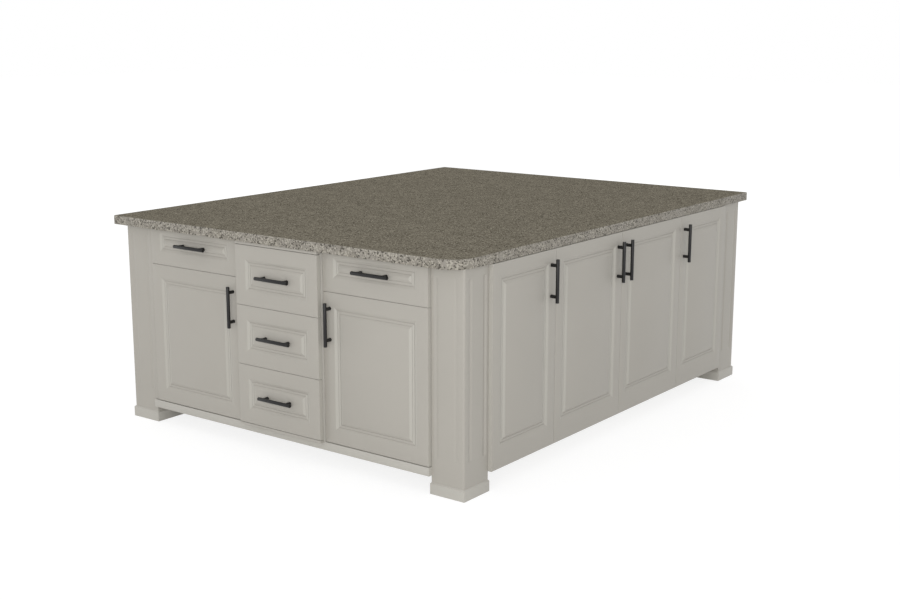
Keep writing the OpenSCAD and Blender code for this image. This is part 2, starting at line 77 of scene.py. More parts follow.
def linear(code):
    # a colour as it looks on screen, in the linear values that nodes use
    parts = [int(code[i:i + 2], 16) / 255 for i in (0, 2, 4)]
    return (*(c / 12.92 if c <= 0.04045 else ((c + 0.055) / 1.055) ** 2.4 for c in parts), 1)


def linkAll(tree, sockets, values):
    for label, value in values.items():
        tree.links.new(value, sockets[label])


def mixColor(tree, factor, a, b):
    return addNode(tree, "ShaderNodeMix", {0: factor, 6: a, 7: b}, data_type="RGBA").outputs[2]


def newMath(tree, operation, a, b=0.0):
    return addNode(tree, "ShaderNodeMath", {0: a, 1: b}, operation=operation).outputs[0]


def times(tree, a, b):
    return newMath(tree, "MULTIPLY", a, b)


def addNoise(tree, vector, scale, detail=2.0, **inputs):
    return addNode(tree, "ShaderNodeTexNoise",
                   {"Vector": vector, "Scale": scale, "Detail": detail, **inputs}).outputs


def mapRange(tree, value, low, high, first=0.0, last=1.0):
    return addNode(tree, "ShaderNodeMapRange",
                   {0: value, 1: low, 2: high, 3: first, 4: last}).outputs[0]


def newGroup(name, inputs, outputs):
    # an input's kind follows from its value: nothing, a colour or a number
    kinds = {type(None): "Vector", tuple: "Color", float: "Float"}
    group = bpy.data.node_groups.new(name, "ShaderNodeTree")
    for label, value in inputs.items():
        socket = group.interface.new_socket(label, in_out="INPUT",
                                            socket_type="NodeSocket" + kinds[type(value)])
        if value is not None:
            socket.default_value = value
    for label in outputs:
        kind = "Color" if label == "Color" else "Float"
        group.interface.new_socket(label, in_out="OUTPUT", socket_type="NodeSocket" + kind)
    given = group.nodes.new("NodeGroupInput").outputs
    return group, given, group.nodes.new("NodeGroupOutput").inputs


def fineMottle():
    # slow drift between two shades, and the fine grain of a sprayed or moulded skin
    group, given, out = newGroup("fineMottle", {
        "Vector": None, "Color": (0.5, 0.5, 0.5, 1), "Shade": (0.4, 0.4, 0.4, 1), "Drift": 0.3,
        "Drift Scale": 4.0, "Grain Scale": 700.0}, ("Color", "Grain"))
    drift = addNoise(group, given["Vector"], given["Drift Scale"], 4.0)["Fac"]
    grain = addNoise(group, given["Vector"], given["Grain Scale"])["Fac"]
    amount = times(group, mapRange(group, drift, 0.3, 0.7), given["Drift"])
    linkAll(group, out, {"Color": mixColor(group, amount, given["Color"], given["Shade"]),
                         "Grain": grain})
    return group


def stoneFlecks():
    # dark and pale crystals over a slowly clouded ground
    group, given, out = newGroup("stoneFlecks", {
        "Vector": None, "Ground": (0.2, 0.2, 0.2, 1), "Cloud": (0.15, 0.15, 0.15, 1),
        "Dark": (0.03, 0.03, 0.03, 1), "Pale": (0.4, 0.4, 0.4, 1), "Scale": 300.0,
        "Dark Share": 0.3, "Pale Share": 0.2, "Strength": 1.0}, ("Color", "Crystal", "Height"))
    place, strength = given["Vector"], given["Strength"]
    warp = addNoise(group, place, 260.0, 1.0)["Color"]
    bend = addNode(group, "ShaderNodeVectorMath", {0: warp, "Scale": 0.003}, operation="SCALE")
    spot = addNode(group, "ShaderNodeVectorMath", {0: place, 1: bend.outputs[0]}, operation="ADD")
    cells = addNode(group, "ShaderNodeTexVoronoi",
                    {"Vector": spot.outputs[0], "Scale": given["Scale"]}).outputs
    pick = addNode(group, "ShaderNodeSeparateColor", {0: cells["Color"]}).outputs
    cloud = addNoise(group, place, 14.0, 5.0, Roughness=0.6)["Fac"]
    color = mixColor(group, mapRange(group, cloud, 0.35, 0.65), given["Ground"], given["Cloud"])
    for chance, label in ((pick[0], "Dark"), (pick[1], "Pale")):
        chosen = newMath(group, "LESS_THAN", chance, given[label + " Share"])
        color = mixColor(group, times(group, chosen, strength), color, given[label])
    linkAll(group, out, {"Color": color, "Crystal": pick[2], "Height": cells["Distance"]})
    return group


def woodGrain():
    # streaks along the direction that the given vector is squeezed in
    group, given, out = newGroup("woodGrain", {
        "Vector": None, "Light": (0.6, 0.45, 0.28, 1), "Dark": (0.45, 0.32, 0.18, 1),
        "Contrast": 0.6}, ("Color", "Height"))
    broad = addNoise(group, given["Vector"], 1.0, 5.0, Distortion=0.6)["Fac"]
    fine = addNoise(group, given["Vector"], 6.0, 3.0)["Fac"]
    both = newMath(group, "ADD", times(group, broad, 0.65), times(group, fine, 0.35))
    amount = times(group, mapRange(group, both, 0.38, 0.64), given["Contrast"])
    linkAll(group, out, {"Color": mixColor(group, amount, given["Light"], given["Dark"]),
                         "Height": fine})
    return group


def plyLayers():
    # the edge of plywood: layers whose grain runs along and across in turn
    group, given, out = newGroup("plyLayers", {
        "Vector": None, "Depth": 0.0, "Layer": 0.0014, "Light": (0.6, 0.45, 0.28, 1),
        "Dark": (0.35, 0.22, 0.12, 1)}, ("Color", "Height"))
    waver = addNoise(group, given["Vector"], 40.0)["Fac"]
    depth = newMath(group, "ADD", given["Depth"], times(group, waver, 0.0004))
    layer = newMath(group, "ABSOLUTE", newMath(group, "DIVIDE", depth, given["Layer"]))
    across = newMath(group, "LESS_THAN", newMath(group, "MODULO", layer, 2.0), 1.0)
    speck = addNoise(group, given["Vector"], 500.0)["Fac"]
    amount = times(group, across, newMath(group, "ADD", times(group, speck, 0.7), 0.25))
    linkAll(group, out, {"Color": mixColor(group, amount, given["Light"], given["Dark"]),
                         "Height": across})
    return group


groups = {"mottle": fineMottle(), "flecks": stoneFlecks(), "grain": woodGrain(),
          "layers": plyLayers()}


def withSpaces(values):
    # socket names, written with underscores as keywords
    return {label.replace("_", " "): value for label, value in values.items()}


def newMaterial(name, **sockets):
    material = bpy.data.materials.new(name)
    material.use_nodes = True
    tree = material.node_tree
    shader = tree.nodes["Principled BSDF"]
    for label, value in withSpaces(sockets).items():
        shader.inputs[label].default_value = value
    return material, tree, addNode(tree, "ShaderNodeTexCoord").outputs["Object"]


def useGroup(tree, key, **inputs):
    return addNode(tree, "ShaderNodeGroup", withSpaces(inputs), node_tree=groups[key]).outputs


def finishMaterial(material, color, height, bump, rough=None):
    tree = material.node_tree
    relief = addNode(tree, "ShaderNodeBump", {"Height": height, "Distance": bump, "Strength": 1.0})
    links = {"Base Color": color, "Normal": relief.outputs[0]}
    if rough is not None:
        links["Roughness"] = rough
    linkAll(tree, tree.nodes["Principled BSDF"].inputs, links)
    return material


def mottledMaterial(name, color, shade, roughness, drift=0.5, driftScale=5.0, grainScale=700.0,
                    roughSpread=0.05, bump=0.00003, **sockets):
    material, tree, place = newMaterial(name, **sockets)
    skin = useGroup(tree, "mottle", Vector=place, Color=linear(color), Shade=linear(shade),
                    Drift=drift, Drift_Scale=driftScale, Grain_Scale=grainScale)
    rough = mapRange(tree, skin["Grain"], 0.25, 0.75, roughness - roughSpread,
                     roughness + roughSpread)
    return finishMaterial(material, skin["Color"], skin["Grain"], bump, rough)


def stoneMaterial(name, tones, scale, shares, roughness, specular, roughSpread=0.06):
    # tones: ground, cloud, dark and pale crystals; shares: of the dark and the pale ones
    material, tree, place = newMaterial(name, Specular_IOR_Level=specular)
    ground, cloud, dark, pale = (linear(tone) for tone in tones)
    stone = useGroup(tree, "flecks", Vector=place, Ground=ground, Cloud=cloud, Dark=dark,
                     Pale=pale, Scale=scale, Dark_Share=shares[0], Pale_Share=shares[1],
                     Strength=0.85)
    rough = mapRange(tree, stone["Crystal"], 0.0, 1.0, roughness - roughSpread,
                     roughness + roughSpread)
    return finishMaterial(material, stone["Color"], stone["Height"], 0.00002, rough)


def birchMaterial(name, along, tones, roughness):
    # along 0 has its grain along X, along 1 along Y
    material, tree, place = newMaterial(name, Roughness=roughness)
    squeeze = (4.0, 70.0, 70.0) if along == 0 else (70.0, 4.0, 70.0)
    mapping = addNode(tree, "ShaderNodeMapping", {"Vector": place, "Scale": squeeze})
    wood = useGroup(tree, "grain", Vector=mapping.outputs[0], Light=linear(tones[0]),
                    Dark=linear(tones[1]))
    return finishMaterial(material, wood["Color"], wood["Height"], 0.00004)


def plyEdgeMaterial(name, axis, tones, roughness, layer=0.0015):
    # axis 0 has its layers stacked along X, axis 1 along Y
    material, tree, place = newMaterial(name, Roughness=roughness)
    split = addNode(tree, "ShaderNodeSeparateXYZ", {0: place})
    edge = useGroup(tree, "layers", Vector=place, Depth=split.outputs[axis], Layer=layer,
                    Light=linear(tones[0]), Dark=linear(tones[1]))
    return finishMaterial(material, edge["Color"], edge["Height"], 0.00003)


sprayed = {"drift": 0.6, "driftScale": 2.5, "grainScale": 900.0, "bump": 0.00002}
birch, birchEdge = ("dcc7a0", "c3a576"), ("d3b98b", "8d6a43")
paints = {
    "front": mottledMaterial("satinPaint", "b0aca4", "aba79f", 0.42, Specular_IOR_Level=0.35,
                             **sprayed),
    # a lighter copy of the front paint for the upright mouldings and the boards' edges: a painted
    # highlight
    "upright": mottledMaterial("paintedHighlightOnUprights", "b8b5ad", "b3b0a8", 0.42,
                               Specular_IOR_Level=0.35, **sprayed),
    # a lighter copy of the front paint for the foot blocks, the base rail and the stack's outer
    # sides and front edges: painted light
    "base": mottledMaterial("basePaint", "bdbab3", "b8b5ad", 0.45, Specular_IOR_Level=0.3,
                            **sprayed),
    "carcass": mottledMaterial("carcassMelamine", "cfcbc0", "c6c2b7", 0.5, driftScale=18.0,
                               grainScale=1500.0, bump=0.00002, Specular_IOR_Level=0.4),
    "banding": mottledMaterial("carcassBanding", "c4c0b5", "bbb7ac", 0.42, driftScale=40.0,
                               bump=0.00001),
    # the top's ground tones are darker than the edge's: painted shade on the top
    "stoneTop": stoneMaterial("polishedStoneWithPaintedShade", ("837d6f", "787265", "3a362f", "a6a090"), 240.0,
                              (0.16, 0.14), 0.45, 0.0),
    "stoneEdge": stoneMaterial("stoneEdge", ("97928a", "8d887e", "4b4740", "b2ada1"), 200.0,
                               (0.24, 0.2), 0.48, 0.1),
    "pull": mottledMaterial("blackPullFinish", "131212", "0e0d0d", 0.42, grainScale=1600.0,
                            bump=0.00002, Metallic=0.2),
    "zinc": mottledMaterial("zincSteel", "b4b6b8", "9c9fa2", 0.34, driftScale=60.0,
                            grainScale=1200.0, roughSpread=0.08, bump=0.00001, Metallic=0.9),
    "leg": mottledMaterial("legPlastic", "262626", "1d1d1d", 0.5, grainScale=1100.0,
                           bump=0.00004),
    # near black for the painted shade in holes and screw heads, and for the legs' threaded part
    "shadeAndThread": mottledMaterial("paintedShadeAndDarkThread", "121212", "0c0c0c", 0.7, bump=0.00001),
    "birchX": birchMaterial("birchAlongX", 0, birch, 0.38),
    "birchY": birchMaterial("birchAlongY", 1, birch, 0.38),
    "plyX": plyEdgeMaterial("birchEdgeX", 0, birchEdge, 0.5),
    "plyY": plyEdgeMaterial("birchEdgeY", 1, birchEdge, 0.5),
    "core": birchMaterial("corePly", 1, ("c9ab7c", "a98758"), 0.65),
}
print("materials made:", len(paints))

# For each way a face can look: the direction along it and the one into the unit
facings = {"front": ((1, 0), (0, 1)), "side": ((0, 1), (-1, 0)),
           "back": ((-1, 0), (0, -1)), "end": ((0, -1), (1, 0))}


def placeOn(facing, node):
    # x runs along the face from its left end, y goes in from its front, z up from its foot
    low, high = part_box(node)
    along, inward = facings[facing]
    corner = [low[i] if along[i] + inward[i] > 0 else high[i] for i in (0, 1)]
    place = Matrix(((along[0], inward[0], 0, corner[0]), (along[1], inward[1], 0, corner[1]),
                    (0, 0, 1, low.z), (0, 0, 0, 1)))
    size = high - low
    return place, Vector((abs(along[0]) * size.x + abs(along[1]) * size.y,
                          abs(inward[0]) * size.x + abs(inward[1]) * size.y, size.z))


def addFace(bm, points):
    bm.faces.new([bm.verts.new(p) for p in points])


def addLoft(bm, rings, paint=0, caps=(True, True), capPaint=None):
    # paint is one number or a row of numbers for the sides in turn
    plain = isinstance(paint, int)
    rows = [[bm.verts.new(p) for p in ring] for ring in rings]
    for a, b in zip(rows, rows[1:]):
        for i in range(len(a)):
            j = (i + 1) % len(a)
            bm.faces.new((a[i], a[j], b[j], b[i])).material_index = paint if plain else paint[i]
    if capPaint is None:
        capPaint = paint if plain else 0
    for row, wanted in ((rows[0][::-1], caps[0]), (rows[-1], caps[1])):
        if wanted:
            bm.faces.new(row).material_index = capPaint


def addBox(bm, low, high, paint=0, special=None):
    # special gives another paint to faces by name, such as {"+z": 1}
    corners = [Vector((x, y, z)) for x in (low[0], high[0]) for y in (low[1], high[1])
               for z in (low[2], high[2])]
    verts = [bm.verts.new(c) for c in corners]
    sides = {"-x": (0, 1, 3, 2), "+x": (4, 6, 7, 5), "-y": (0, 4, 5, 1), "+y": (2, 3, 7, 6),
             "-z": (0, 2, 6, 4), "+z": (1, 5, 7, 3)}
    for label, order in sides.items():
        face = bm.faces.new([verts[i] for i in order])
        face.material_index = (special or {}).get(label, paint)
    return verts


def circle(steps):
    return [(math.cos(a), math.sin(a)) for a in (2 * math.pi * i / steps for i in range(steps))]


def quarterArc(steps):
    # sines and cosines on the way through a right angle
    return [(math.sin(a), math.cos(a)) for a in (math.pi / 2 * i / steps for i in range(steps + 1))]


def addTurned(bm, profile, start, axis, steps=28):
    # profile: distance along the axis and radius, in order
    axis = Vector(axis).normalized()
    sideways = axis.orthogonal().normalized()
    other = axis.cross(sideways)
    addLoft(bm, [[Vector(start) + axis * along + (sideways * c + other * s) * radius
                  for c, s in circle(steps)] for along, radius in profile])


def addExtruded(bm, outline, put, start, end, paint=0, capPaint=None):
    addLoft(bm, [[put(u, v, start) for u, v in outline], [put(u, v, end) for u, v in outline]],
            paint, capPaint=capPaint)


def settle(obj):
    # what the modifiers make becomes the piece's own mesh
    bpy.context.view_layer.update()
    graph = bpy.context.evaluated_depsgraph_get()
    mesh = bpy.data.meshes.new_from_object(obj.evaluated_get(graph), depsgraph=graph)
    obj.modifiers.clear()
    obj.data = mesh


finish = {"merge": 1e-6, "bevelSteps": 2, "bevelAngle": 40.0, "sharpAngle": 32.0, "level": 0.01}


def shadeSmooth(obj):
    obj.data.shade_smooth()
    obj.data.set_sharp_from_angle(angle=math.radians(finish["sharpAngle"]))


def ridePiece(obj, body, stands=()):
    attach(obj, body)
    if stands:
        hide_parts(*stands)


def addPiece(name, bm, materials, body, stands=(), softEdge=0.0, place=None, weld=False,
             mitred=False):
    # mitred keeps the slanting edges crisp where two mouldings meet
    if weld:
        bmesh.ops.remove_doubles(bm, verts=bm.verts[:], dist=finish["merge"])
    mitres = []
    if mitred:
        bm.edges.index_update()
        runs = [(edge.index, edge.verts[1].co - edge.verts[0].co) for edge in bm.edges]
        mitres = [i for i, run in runs if min(abs(run.x), abs(run.z)) > finish["level"] * mm]
    if place is not None:
        bm.transform(place)
    bmesh.ops.recalc_face_normals(bm, faces=bm.faces[:])
    mesh = bpy.data.meshes.new(name)
    bm.to_mesh(mesh)
    bm.free()
    for key in materials:
        mesh.materials.append(paints[key])
    obj = bpy.data.objects.new(name, mesh)
    scene.collection.objects.link(obj)
    if softEdge:
        bevel = obj.modifiers.new("softEdge", "BEVEL")
        bevel.width = softEdge * mm
        bevel.segments = finish["bevelSteps"]
        bevel.limit_method = "ANGLE"
        bevel.angle_limit = math.radians(finish["bevelAngle"])
        settle(obj)
    shadeSmooth(obj)
    for i in mitres:
        obj.data.edges[i].use_edge_sharp = True
    ridePiece(obj, body, stands)


def boxPiece(name, boxes, materials, stands, softEdge, place=None):
    bm = bmesh.new()
    for low, high, *rest in boxes:
        addBox(bm, low, high, *rest)
    addPiece(name, bm, materials, "island", stands, softEdge, place)


# A fall from the frame, a low bead between two quirks and a rise to the panel: each pair is an
# inset and a depth, and a curve ends with its bulge
moulding = {"fall": ((0.0, 0.0), (12.3, 5.4), 0.25),
            "quirks": (((12.5, 6.8), (13.3, 6.8)), ((23.7, 6.8), (24.5, 6.8))),
            "bead": ((13.5, 5.3), (18.5, 4.7), (23.5, 5.3)),
            "rise": ((24.7, 5.4), (36.5, 0.5), -0.25), "curveSteps": 6}


def curveSteps(first, last, bulge):
    # a curve between two points that bulges towards the front
    count = moulding["curveSteps"]
    steps = []
    for i in range(count + 1):
        t = i / count
        share = t - bulge * t * (1 - t)
        steps.append((first[0] + (last[0] - first[0]) * t, first[1] + (last[1] - first[1]) * share))
    return steps


def mouldingSteps():
    # inset and depth from the frame's edge to the panel
    m = moulding
    steps = [*curveSteps(*m["fall"]), *m["quirks"][0], *m["bead"], *m["quirks"][1],
             *curveSteps(*m["rise"])]
    return [(inset * mm, depth * mm) for inset, depth in steps]


def addPanelFace(bm, put, cell, panel):
    # a flat face with one moulded panel, its upright mouldings in the second paint, a lighter copy
    # of the first that paints a highlight on them; put turns along, depth and height into a place
    def ring(edges, inset, depth):
        x0, x1, z0, z1 = edges
        return [put(x, depth, z) for x, z in ((x0 + inset, z0 + inset), (x1 - inset, z0 + inset),
                                              (x1 - inset, z1 - inset), (x0 + inset, z1 - inset))]
    rings = [ring(panel, inset, depth) for inset, depth in mouldingSteps()]
    addLoft(bm, [ring(cell, 0.0, 0.0), rings[0]], caps=(False, False))
    addLoft(bm, rings, (0, 1, 0, 1), caps=(False, True))


boards = {"edge": 0.8, "edgeSteps": 4, "backEdge": 0.4, "boreDepth": 12.5, "boreRadius": 17.5,
          "boreSteps": 32}


def addMouldedBoard(bm, size, panels, bores=()):
    # board with its front at y = 0, moulded panels in a row and round bores in its back; its edges
    # take the second paint, a lighter copy of the first: painted light
    width, thick, height = size
    cuts = [0.0] + [(a[1] + b[0]) / 2 for a, b in zip(panels, panels[1:])] + [width]
    r, back = boards["edge"] * mm, boards["backEdge"] * mm

    def outline(inset, depth):
        xs = [inset] + cuts[1:-1] + [width - inset]
        return [(x, depth, inset) for x in xs] + [(x, depth, height - inset) for x in xs[::-1]]

    rings = [outline(back, thick), outline(0, thick - back), outline(0, r)]
    rings += [outline(r * (1 - c), r * (1 - s)) for s, c in quarterArc(boards["edgeSteps"])[1:]]
    addLoft(bm, rings[:3], 1, caps=(False, False))
    addLoft(bm, rings[2:], caps=(False, False))
    for i, panel in enumerate(panels):
        cell = (max(cuts[i], r), min(cuts[i + 1], width - r), r, height - r)
        addPanelFace(bm, lambda x, y, z: (x, y, z), cell, panel)
    loops = [[Vector(p) for p in rings[0]]]
    radius, deep = boards["boreRadius"] * mm, Vector((0, boards["boreDepth"] * mm, 0))
    for x, z in bores:
        loops.append([Vector((x + radius * c, thick, z + radius * s))
                      for c, s in circle(boards["boreSteps"])])
    points = [p for loop in loops for p in loop]
    for triangle in tessellate_polygon(loops):
        addFace(bm, [points[i] for i in triangle])
    for loop in loops[1:]:
        addLoft(bm, [loop, [p - deep for p in loop]], caps=(False, True))


# Doors and drawer fronts: facing, frame below and above the panel, hinged side
fronts = {
    "frame": {"front": 55.0, "side": 50.0},
    "cupEdge": 22.5,
    "cupEnd": 95.0,
    "drawers": {
        "left": (56.5, 17.0), "right": (56.5, 17.0), "top": (58.0, 57.0),
        "middle": (58.0, 57.0), "bottom": (58.0, 57.0),
    },
    "doors": {
        "door_left": ("front", 56.0, 56.5, "left"), "door_right": ("front", 56.0, 56.5, "right"),
        "door_near": ("side", 84.5, 51.5, "left"),
        "door_double_near": ("side", 84.5, 51.5, "left"),
        "door_double_far": ("side", 84.5, 51.5, "right"),
        "door_far": ("side", 84.5, 51.5, "right"),
    },
}


def hingeSpots(door):
    # along the door from its left end, and up from its foot, in metres
    facing, _, _, hinged = fronts["doors"][door]
    _, size = placeOn(facing, door)
    x = fronts["cupEdge"] * mm if hinged == "left" else size.x - fronts["cupEdge"] * mm
    return [(x, fronts["cupEnd"] * mm), (x, size.z - fronts["cupEnd"] * mm)]


def makeFront(node, body, facing, low, top, bores=()):
    place, size = placeOn(facing, node)
    side = fronts["frame"][facing] * mm
    bm = bmesh.new()
    addMouldedBoard(bm, size, [(side, size.x - side, low * mm, size.z - top * mm)], bores)
    addPiece(node + "_board", bm, ["front", "upright"], body, [node], place=place,
             weld=True, mitred=True)


for name, (low, top) in fronts["drawers"].items():
    makeFront(f"drawer_{name}_front", f"drawer_{name}", "front", low, top)
for door, (facing, low, top, hinged) in fronts["doors"].items():
    makeFront(door, door, facing, low, top, hingeSpots(door))
print("doors and drawer fronts made")

# Corner posts: each pair of signs turns x to run out of the unit and y to run into it
posts = {
    "edge": 8.0, "arcSteps": 7, "fluteWidth": 26.0, "frontDepth": 1.6, "sideDepth": 3.5,
    "fluteCorner": 37.0, "fluteInner": 23.5, "low": 94.0, "top": 34.0, "fluteSteps": 8,
    "fluteFloor": 0.4, "endSteps": 10,
    "corners": {"post_near_right": (1, 1), "post_near_left": (-1, 1),
                "post_far_right": (1, -1), "post_far_left": (-1, -1)},
}


def fluteRings(x, z0, z1, deep):
    # outlines of a soft-edged hollow from its rim to its bottom: along, height and depth
    half = posts["fluteWidth"] * mm / 2
    rings = []
    for k in range(posts["fluteSteps"] + 1):
        share = k / (posts["fluteSteps"] + posts["fluteFloor"])
        reach, depth = half * (1 - share), deep * (1 - math.cos(math.pi * share)) / 2
        ring = []
        for z, start in ((z0 + half, math.pi), (z1 - half, 0.0)):
            for i in range(posts["endSteps"] + 1):
                t = start + math.pi * i / posts["endSteps"]
                ring.append((x + reach * math.cos(t), z + reach * math.sin(t), depth))
        rings.append(ring)
    return rings


def addFlutedFace(bm, put, width, height, deep):
    # from the rounded corner to the inner edge, with two flutes
    edge = posts["edge"] * mm
    loops = [[(edge, 0.0), (width, 0.0), (width, height), (edge, height)]]
    for x in (posts["fluteCorner"] * mm, width - posts["fluteInner"] * mm):
        rings = fluteRings(x, posts["low"] * mm, height - posts["top"] * mm, deep)
        addLoft(bm, [[put(u, depth, z) for u, z, depth in ring] for ring in rings],
                caps=(False, True))
        loops.append([(u, z) for u, z, _ in rings[0]])
    flat = [Vector((u, z, 0)) for loop in loops for u, z in loop]
    for triangle in tessellate_polygon([[Vector((u, z, 0)) for u, z in loop] for loop in loops]):
        addFace(bm, [put(flat[i].x, 0.0, flat[i].y) for i in triangle])


def makePost(node, towards):
    low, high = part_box(node)
    width, height = high.x - low.x, high.z - low.z
    corner = Vector((high.x if towards[0] > 0 else low.x, low.y if towards[1] > 0 else high.y,
                     low.z))

    def put(x, y, z):
        return corner + Vector((towards[0] * x, towards[1] * y, z))

    r = posts["edge"] * mm
    bm = bmesh.new()
    addFlutedFace(bm, lambda u, d, z: put(-u, d, z), width, height, posts["frontDepth"] * mm)
    addFlutedFace(bm, lambda u, d, z: put(-d, u, z), width, height, posts["sideDepth"] * mm)
    arc = [(-r + r * s, r - r * c) for s, c in quarterArc(posts["arcSteps"])]

    def addWalls(run):
        for (xa, ya), (xb, yb) in zip(run, run[1:]):
            addFace(bm, [put(xa, ya, 0), put(xb, yb, 0), put(xb, yb, height), put(xa, ya, height)])

    addWalls(arc)
    for z in (0.0, height):
        addFace(bm, [put(x, y, z) for x, y in [(-width, 0.0), *arc, (0.0, width), (-width, width)]])
    addWalls([(0.0, width), (-width, width), (-width, 0.0)])
    addPiece(node + "_fluted", bm, ["front"], "island", [node], weld=True)


for node, towards in posts["corners"].items():
    makePost(node, towards)

feet = {"chamfer": 4.6, "corner": 2.0, "proud": 5.0, "lowEdge": 0.4, "steps": [3] * 4}


def roundedRect(x0, x1, y0, y1, radii, steps, z):
    # outline from the corner at x0, y0 round to x0, y1; a radius and a count for each corner
    corners = ((x0, y0, 1, 1, 180), (x1, y0, -1, 1, 270), (x1, y1, -1, -1, 0), (x0, y1, 1, -1, 90))
    points = []
    for (x, y, sx, sy, turn), r, count in zip(corners, radii, steps):
        for i in range(count + 1):
            a = math.radians(turn + 90 * i / count)
            points.append(Vector((x + sx * r + r * math.cos(a), y + sy * r + r * math.sin(a), z)))
    return points


def makeFeet():
    bm = bmesh.new()
    r, chamfer, proud, ease = (feet[key] * mm for key in ("corner", "chamfer", "proud", "lowEdge"))
    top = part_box("foot_blocks")[1].z
    for node in posts["corners"]:
        a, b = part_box(node)
        x0, x1, y0, y1 = a.x - proud, b.x + proud, a.y - proud, b.y + proud
        addLoft(bm, [roundedRect(x0 + s, x1 - s, y0 + s, y1 - s, [r] * 4, feet["steps"], z)
                     for s, z in ((ease, 0.0), (0.0, ease), (0.0, top - chamfer), (chamfer, top))])
    # the blocks take the lighter paint: painted light from the floor
    addPiece("foot_blocks_eased", bm, ["base"], "island", ["foot_blocks"])


makeFeet()
print("posts and foot blocks made")

softMiddle = 0.3  # a soft edge's middle point lies this share in from the corner

worktop = {"topEdge": 3.0, "lowEdge": 1.5, "bigRadius": 100.0, "smallRadius": 10.0,
           "steps": (6, 24, 6, 6)}


def makeWorktop():
    low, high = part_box("worktop")
    small, big = worktop["smallRadius"] * mm, worktop["bigRadius"] * mm
    r, s = worktop["topEdge"] * mm, worktop["lowEdge"] * mm

    def outline(inset, z):
        radii = [small - inset, big - inset, small - inset, small - inset]
        return roundedRect(low.x + inset, high.x - inset, low.y + inset, high.y - inset,
                           radii, worktop["steps"], z)

    levels = [(s, low.z), (s * softMiddle, low.z + s * softMiddle), (0.0, low.z + s),
              (0.0, high.z - r)]
    levels += [(r * (1 - math.cos(t)), high.z - r * (1 - math.sin(t)))
               for t in (math.pi / 10 * i for i in range(1, 5))]
    bm = bmesh.new()
    addLoft(bm, [outline(inset, z) for inset, z in levels], paint=1, caps=(True, False))
    addLoft(bm, [outline(*levels[-1]), outline(r, high.z)], caps=(False, True))
    addPiece("worktop_slab", bm, ["stoneTop", "stoneEdge"], "island", ["worktop"],
             weld=True)


makeWorktop()
print("worktop made")

pulls = {"chamfer": 0.9, "bar": 14.6, "leg": 14.8, "pitch": 124.0, "collar": 0.8,
         "step": 1.3, "waist": 0.7, "flare": 0.82, "overlap": 0.3, "steps": 40,
         "trims": {False: 2.6, True: 4.4}}


def makePull(node, body, facing, upright):
    place, size = placeOn(facing, node)
    radius = pulls["bar"] * mm / 2
    leg, cut = pulls["leg"] * mm / 2, pulls["chamfer"] * mm
    axis = Vector((0, 0, 1)) if upright else Vector((1, 0, 0))
    length = (size.z if upright else size.x) - 2 * pulls["trims"][upright] * mm
    middle = Vector((size.x / 2, radius, size.z / 2))
    start = middle - axis * length / 2
    middleCut = cut * softMiddle
    bm = bmesh.new()
    addTurned(bm, [(0, radius - cut), (middleCut, radius - middleCut), (cut, radius),
                   (length - cut, radius), (length - middleCut, radius - middleCut),
                   (length, radius - cut)], start, axis, steps=pulls["steps"])
    collar, reach = pulls["collar"] * mm, size.y - radius
    neck = leg - collar / 2
    for side in (-1, 1):
        foot = middle + axis * side * pulls["pitch"] * mm / 2 + Vector((0, reach, 0))
        addTurned(bm, [(0, leg), (collar, leg), (collar * pulls["step"], neck),
                       (reach * pulls["waist"], neck), (reach * pulls["flare"], leg),
                       (reach - radius * pulls["overlap"], leg)], foot, (0, -1, 0))
    addPiece(node + "_bar", bm, ["pull"], body, [node], place=place)


for name in fronts["drawers"]:
    makePull(f"drawer_{name}_pull", f"drawer_{name}", "front", False)
for door, (facing, *_) in fronts["doors"].items():
    makePull(door + "_pull", door, facing, True)
print("pulls made")

closing = {"frame": 52.0, "low": 84.5, "top": 51.5,
           "panels": {"back_panel": ("back", 3), "end_panel": ("end", 4)}}


def makeClosing(node, facing, count):
    place, size = placeOn(facing, node)
    side = closing["frame"] * mm
    pitch = (size.x - side) / count
    row = [(side + i * pitch, (i + 1) * pitch, closing["low"] * mm,
            size.z - closing["top"] * mm) for i in range(count)]
    bm = bmesh.new()
    addMouldedBoard(bm, size, row)
    addPiece(node + "_moulded", bm, ["front", "upright"], "island", [node], place=place,
             weld=True, mitred=True)


for node, (facing, count) in closing["panels"].items():
    makeClosing(node, facing, count)


strips = {"fillerDepth": 40.0, "leftBack": 7.0, "midBack": 3.0, "farBack": 15.0,
          "railRise": 2.0, "topRail": 12.0, "lowRail": 10.0}


def makeStrips():
    low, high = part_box("base_rail")
    high.z += strips["railRise"] * mm
    # the rail takes the lighter paint: painted light from the floor
    boxPiece("base_rail_eased", [(low, high)], ["base"], ["base_rail"], 1.0)
    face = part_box("door_left")[0].y
    leftPost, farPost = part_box("post_near_left")[1].x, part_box("post_far_right")[0].y
    left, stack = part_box("carcass_left"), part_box("carcass_stack")
    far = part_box("carcass_far")
    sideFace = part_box("door_far")[1].x
    deep = strips["fillerDepth"] * mm
    a, b, c = (strips[key] * mm for key in ("leftBack", "midBack", "farBack"))
    boxPiece("fillers_eased", [
        ((leftPost, face + a, left[0].z), (left[0].x, face + a + deep, left[1].z)),
        ((left[1].x, face + b, left[0].z), (stack[0].x, face + b + deep, left[1].z)),
        ((sideFace - c - deep, far[1].y, far[0].z), (sideFace - c, farPost, far[1].z)),
    ], ["front"], ["fillers"], 0.8)
    low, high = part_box("stack_rails")
    boxPiece("stack_rails_eased", [
        ((low.x, low.y, high.z - strips["topRail"] * mm), high),
        (low, (high.x, high.y, low.z + strips["lowRail"] * mm)),
    ], ["front"], ["stack_rails"], 0.8)


makeStrips()
print("closing panels, rails and fillers made")

carcasses = {
    "board": 18.0, "back": 8.0, "seam": 0.75,
    "facing": {"carcass_left": "front", "carcass_stack": "front", "carcass_right": "front",
               "carcass_near": "side", "carcass_double": "side", "carcass_far": "side"},
}


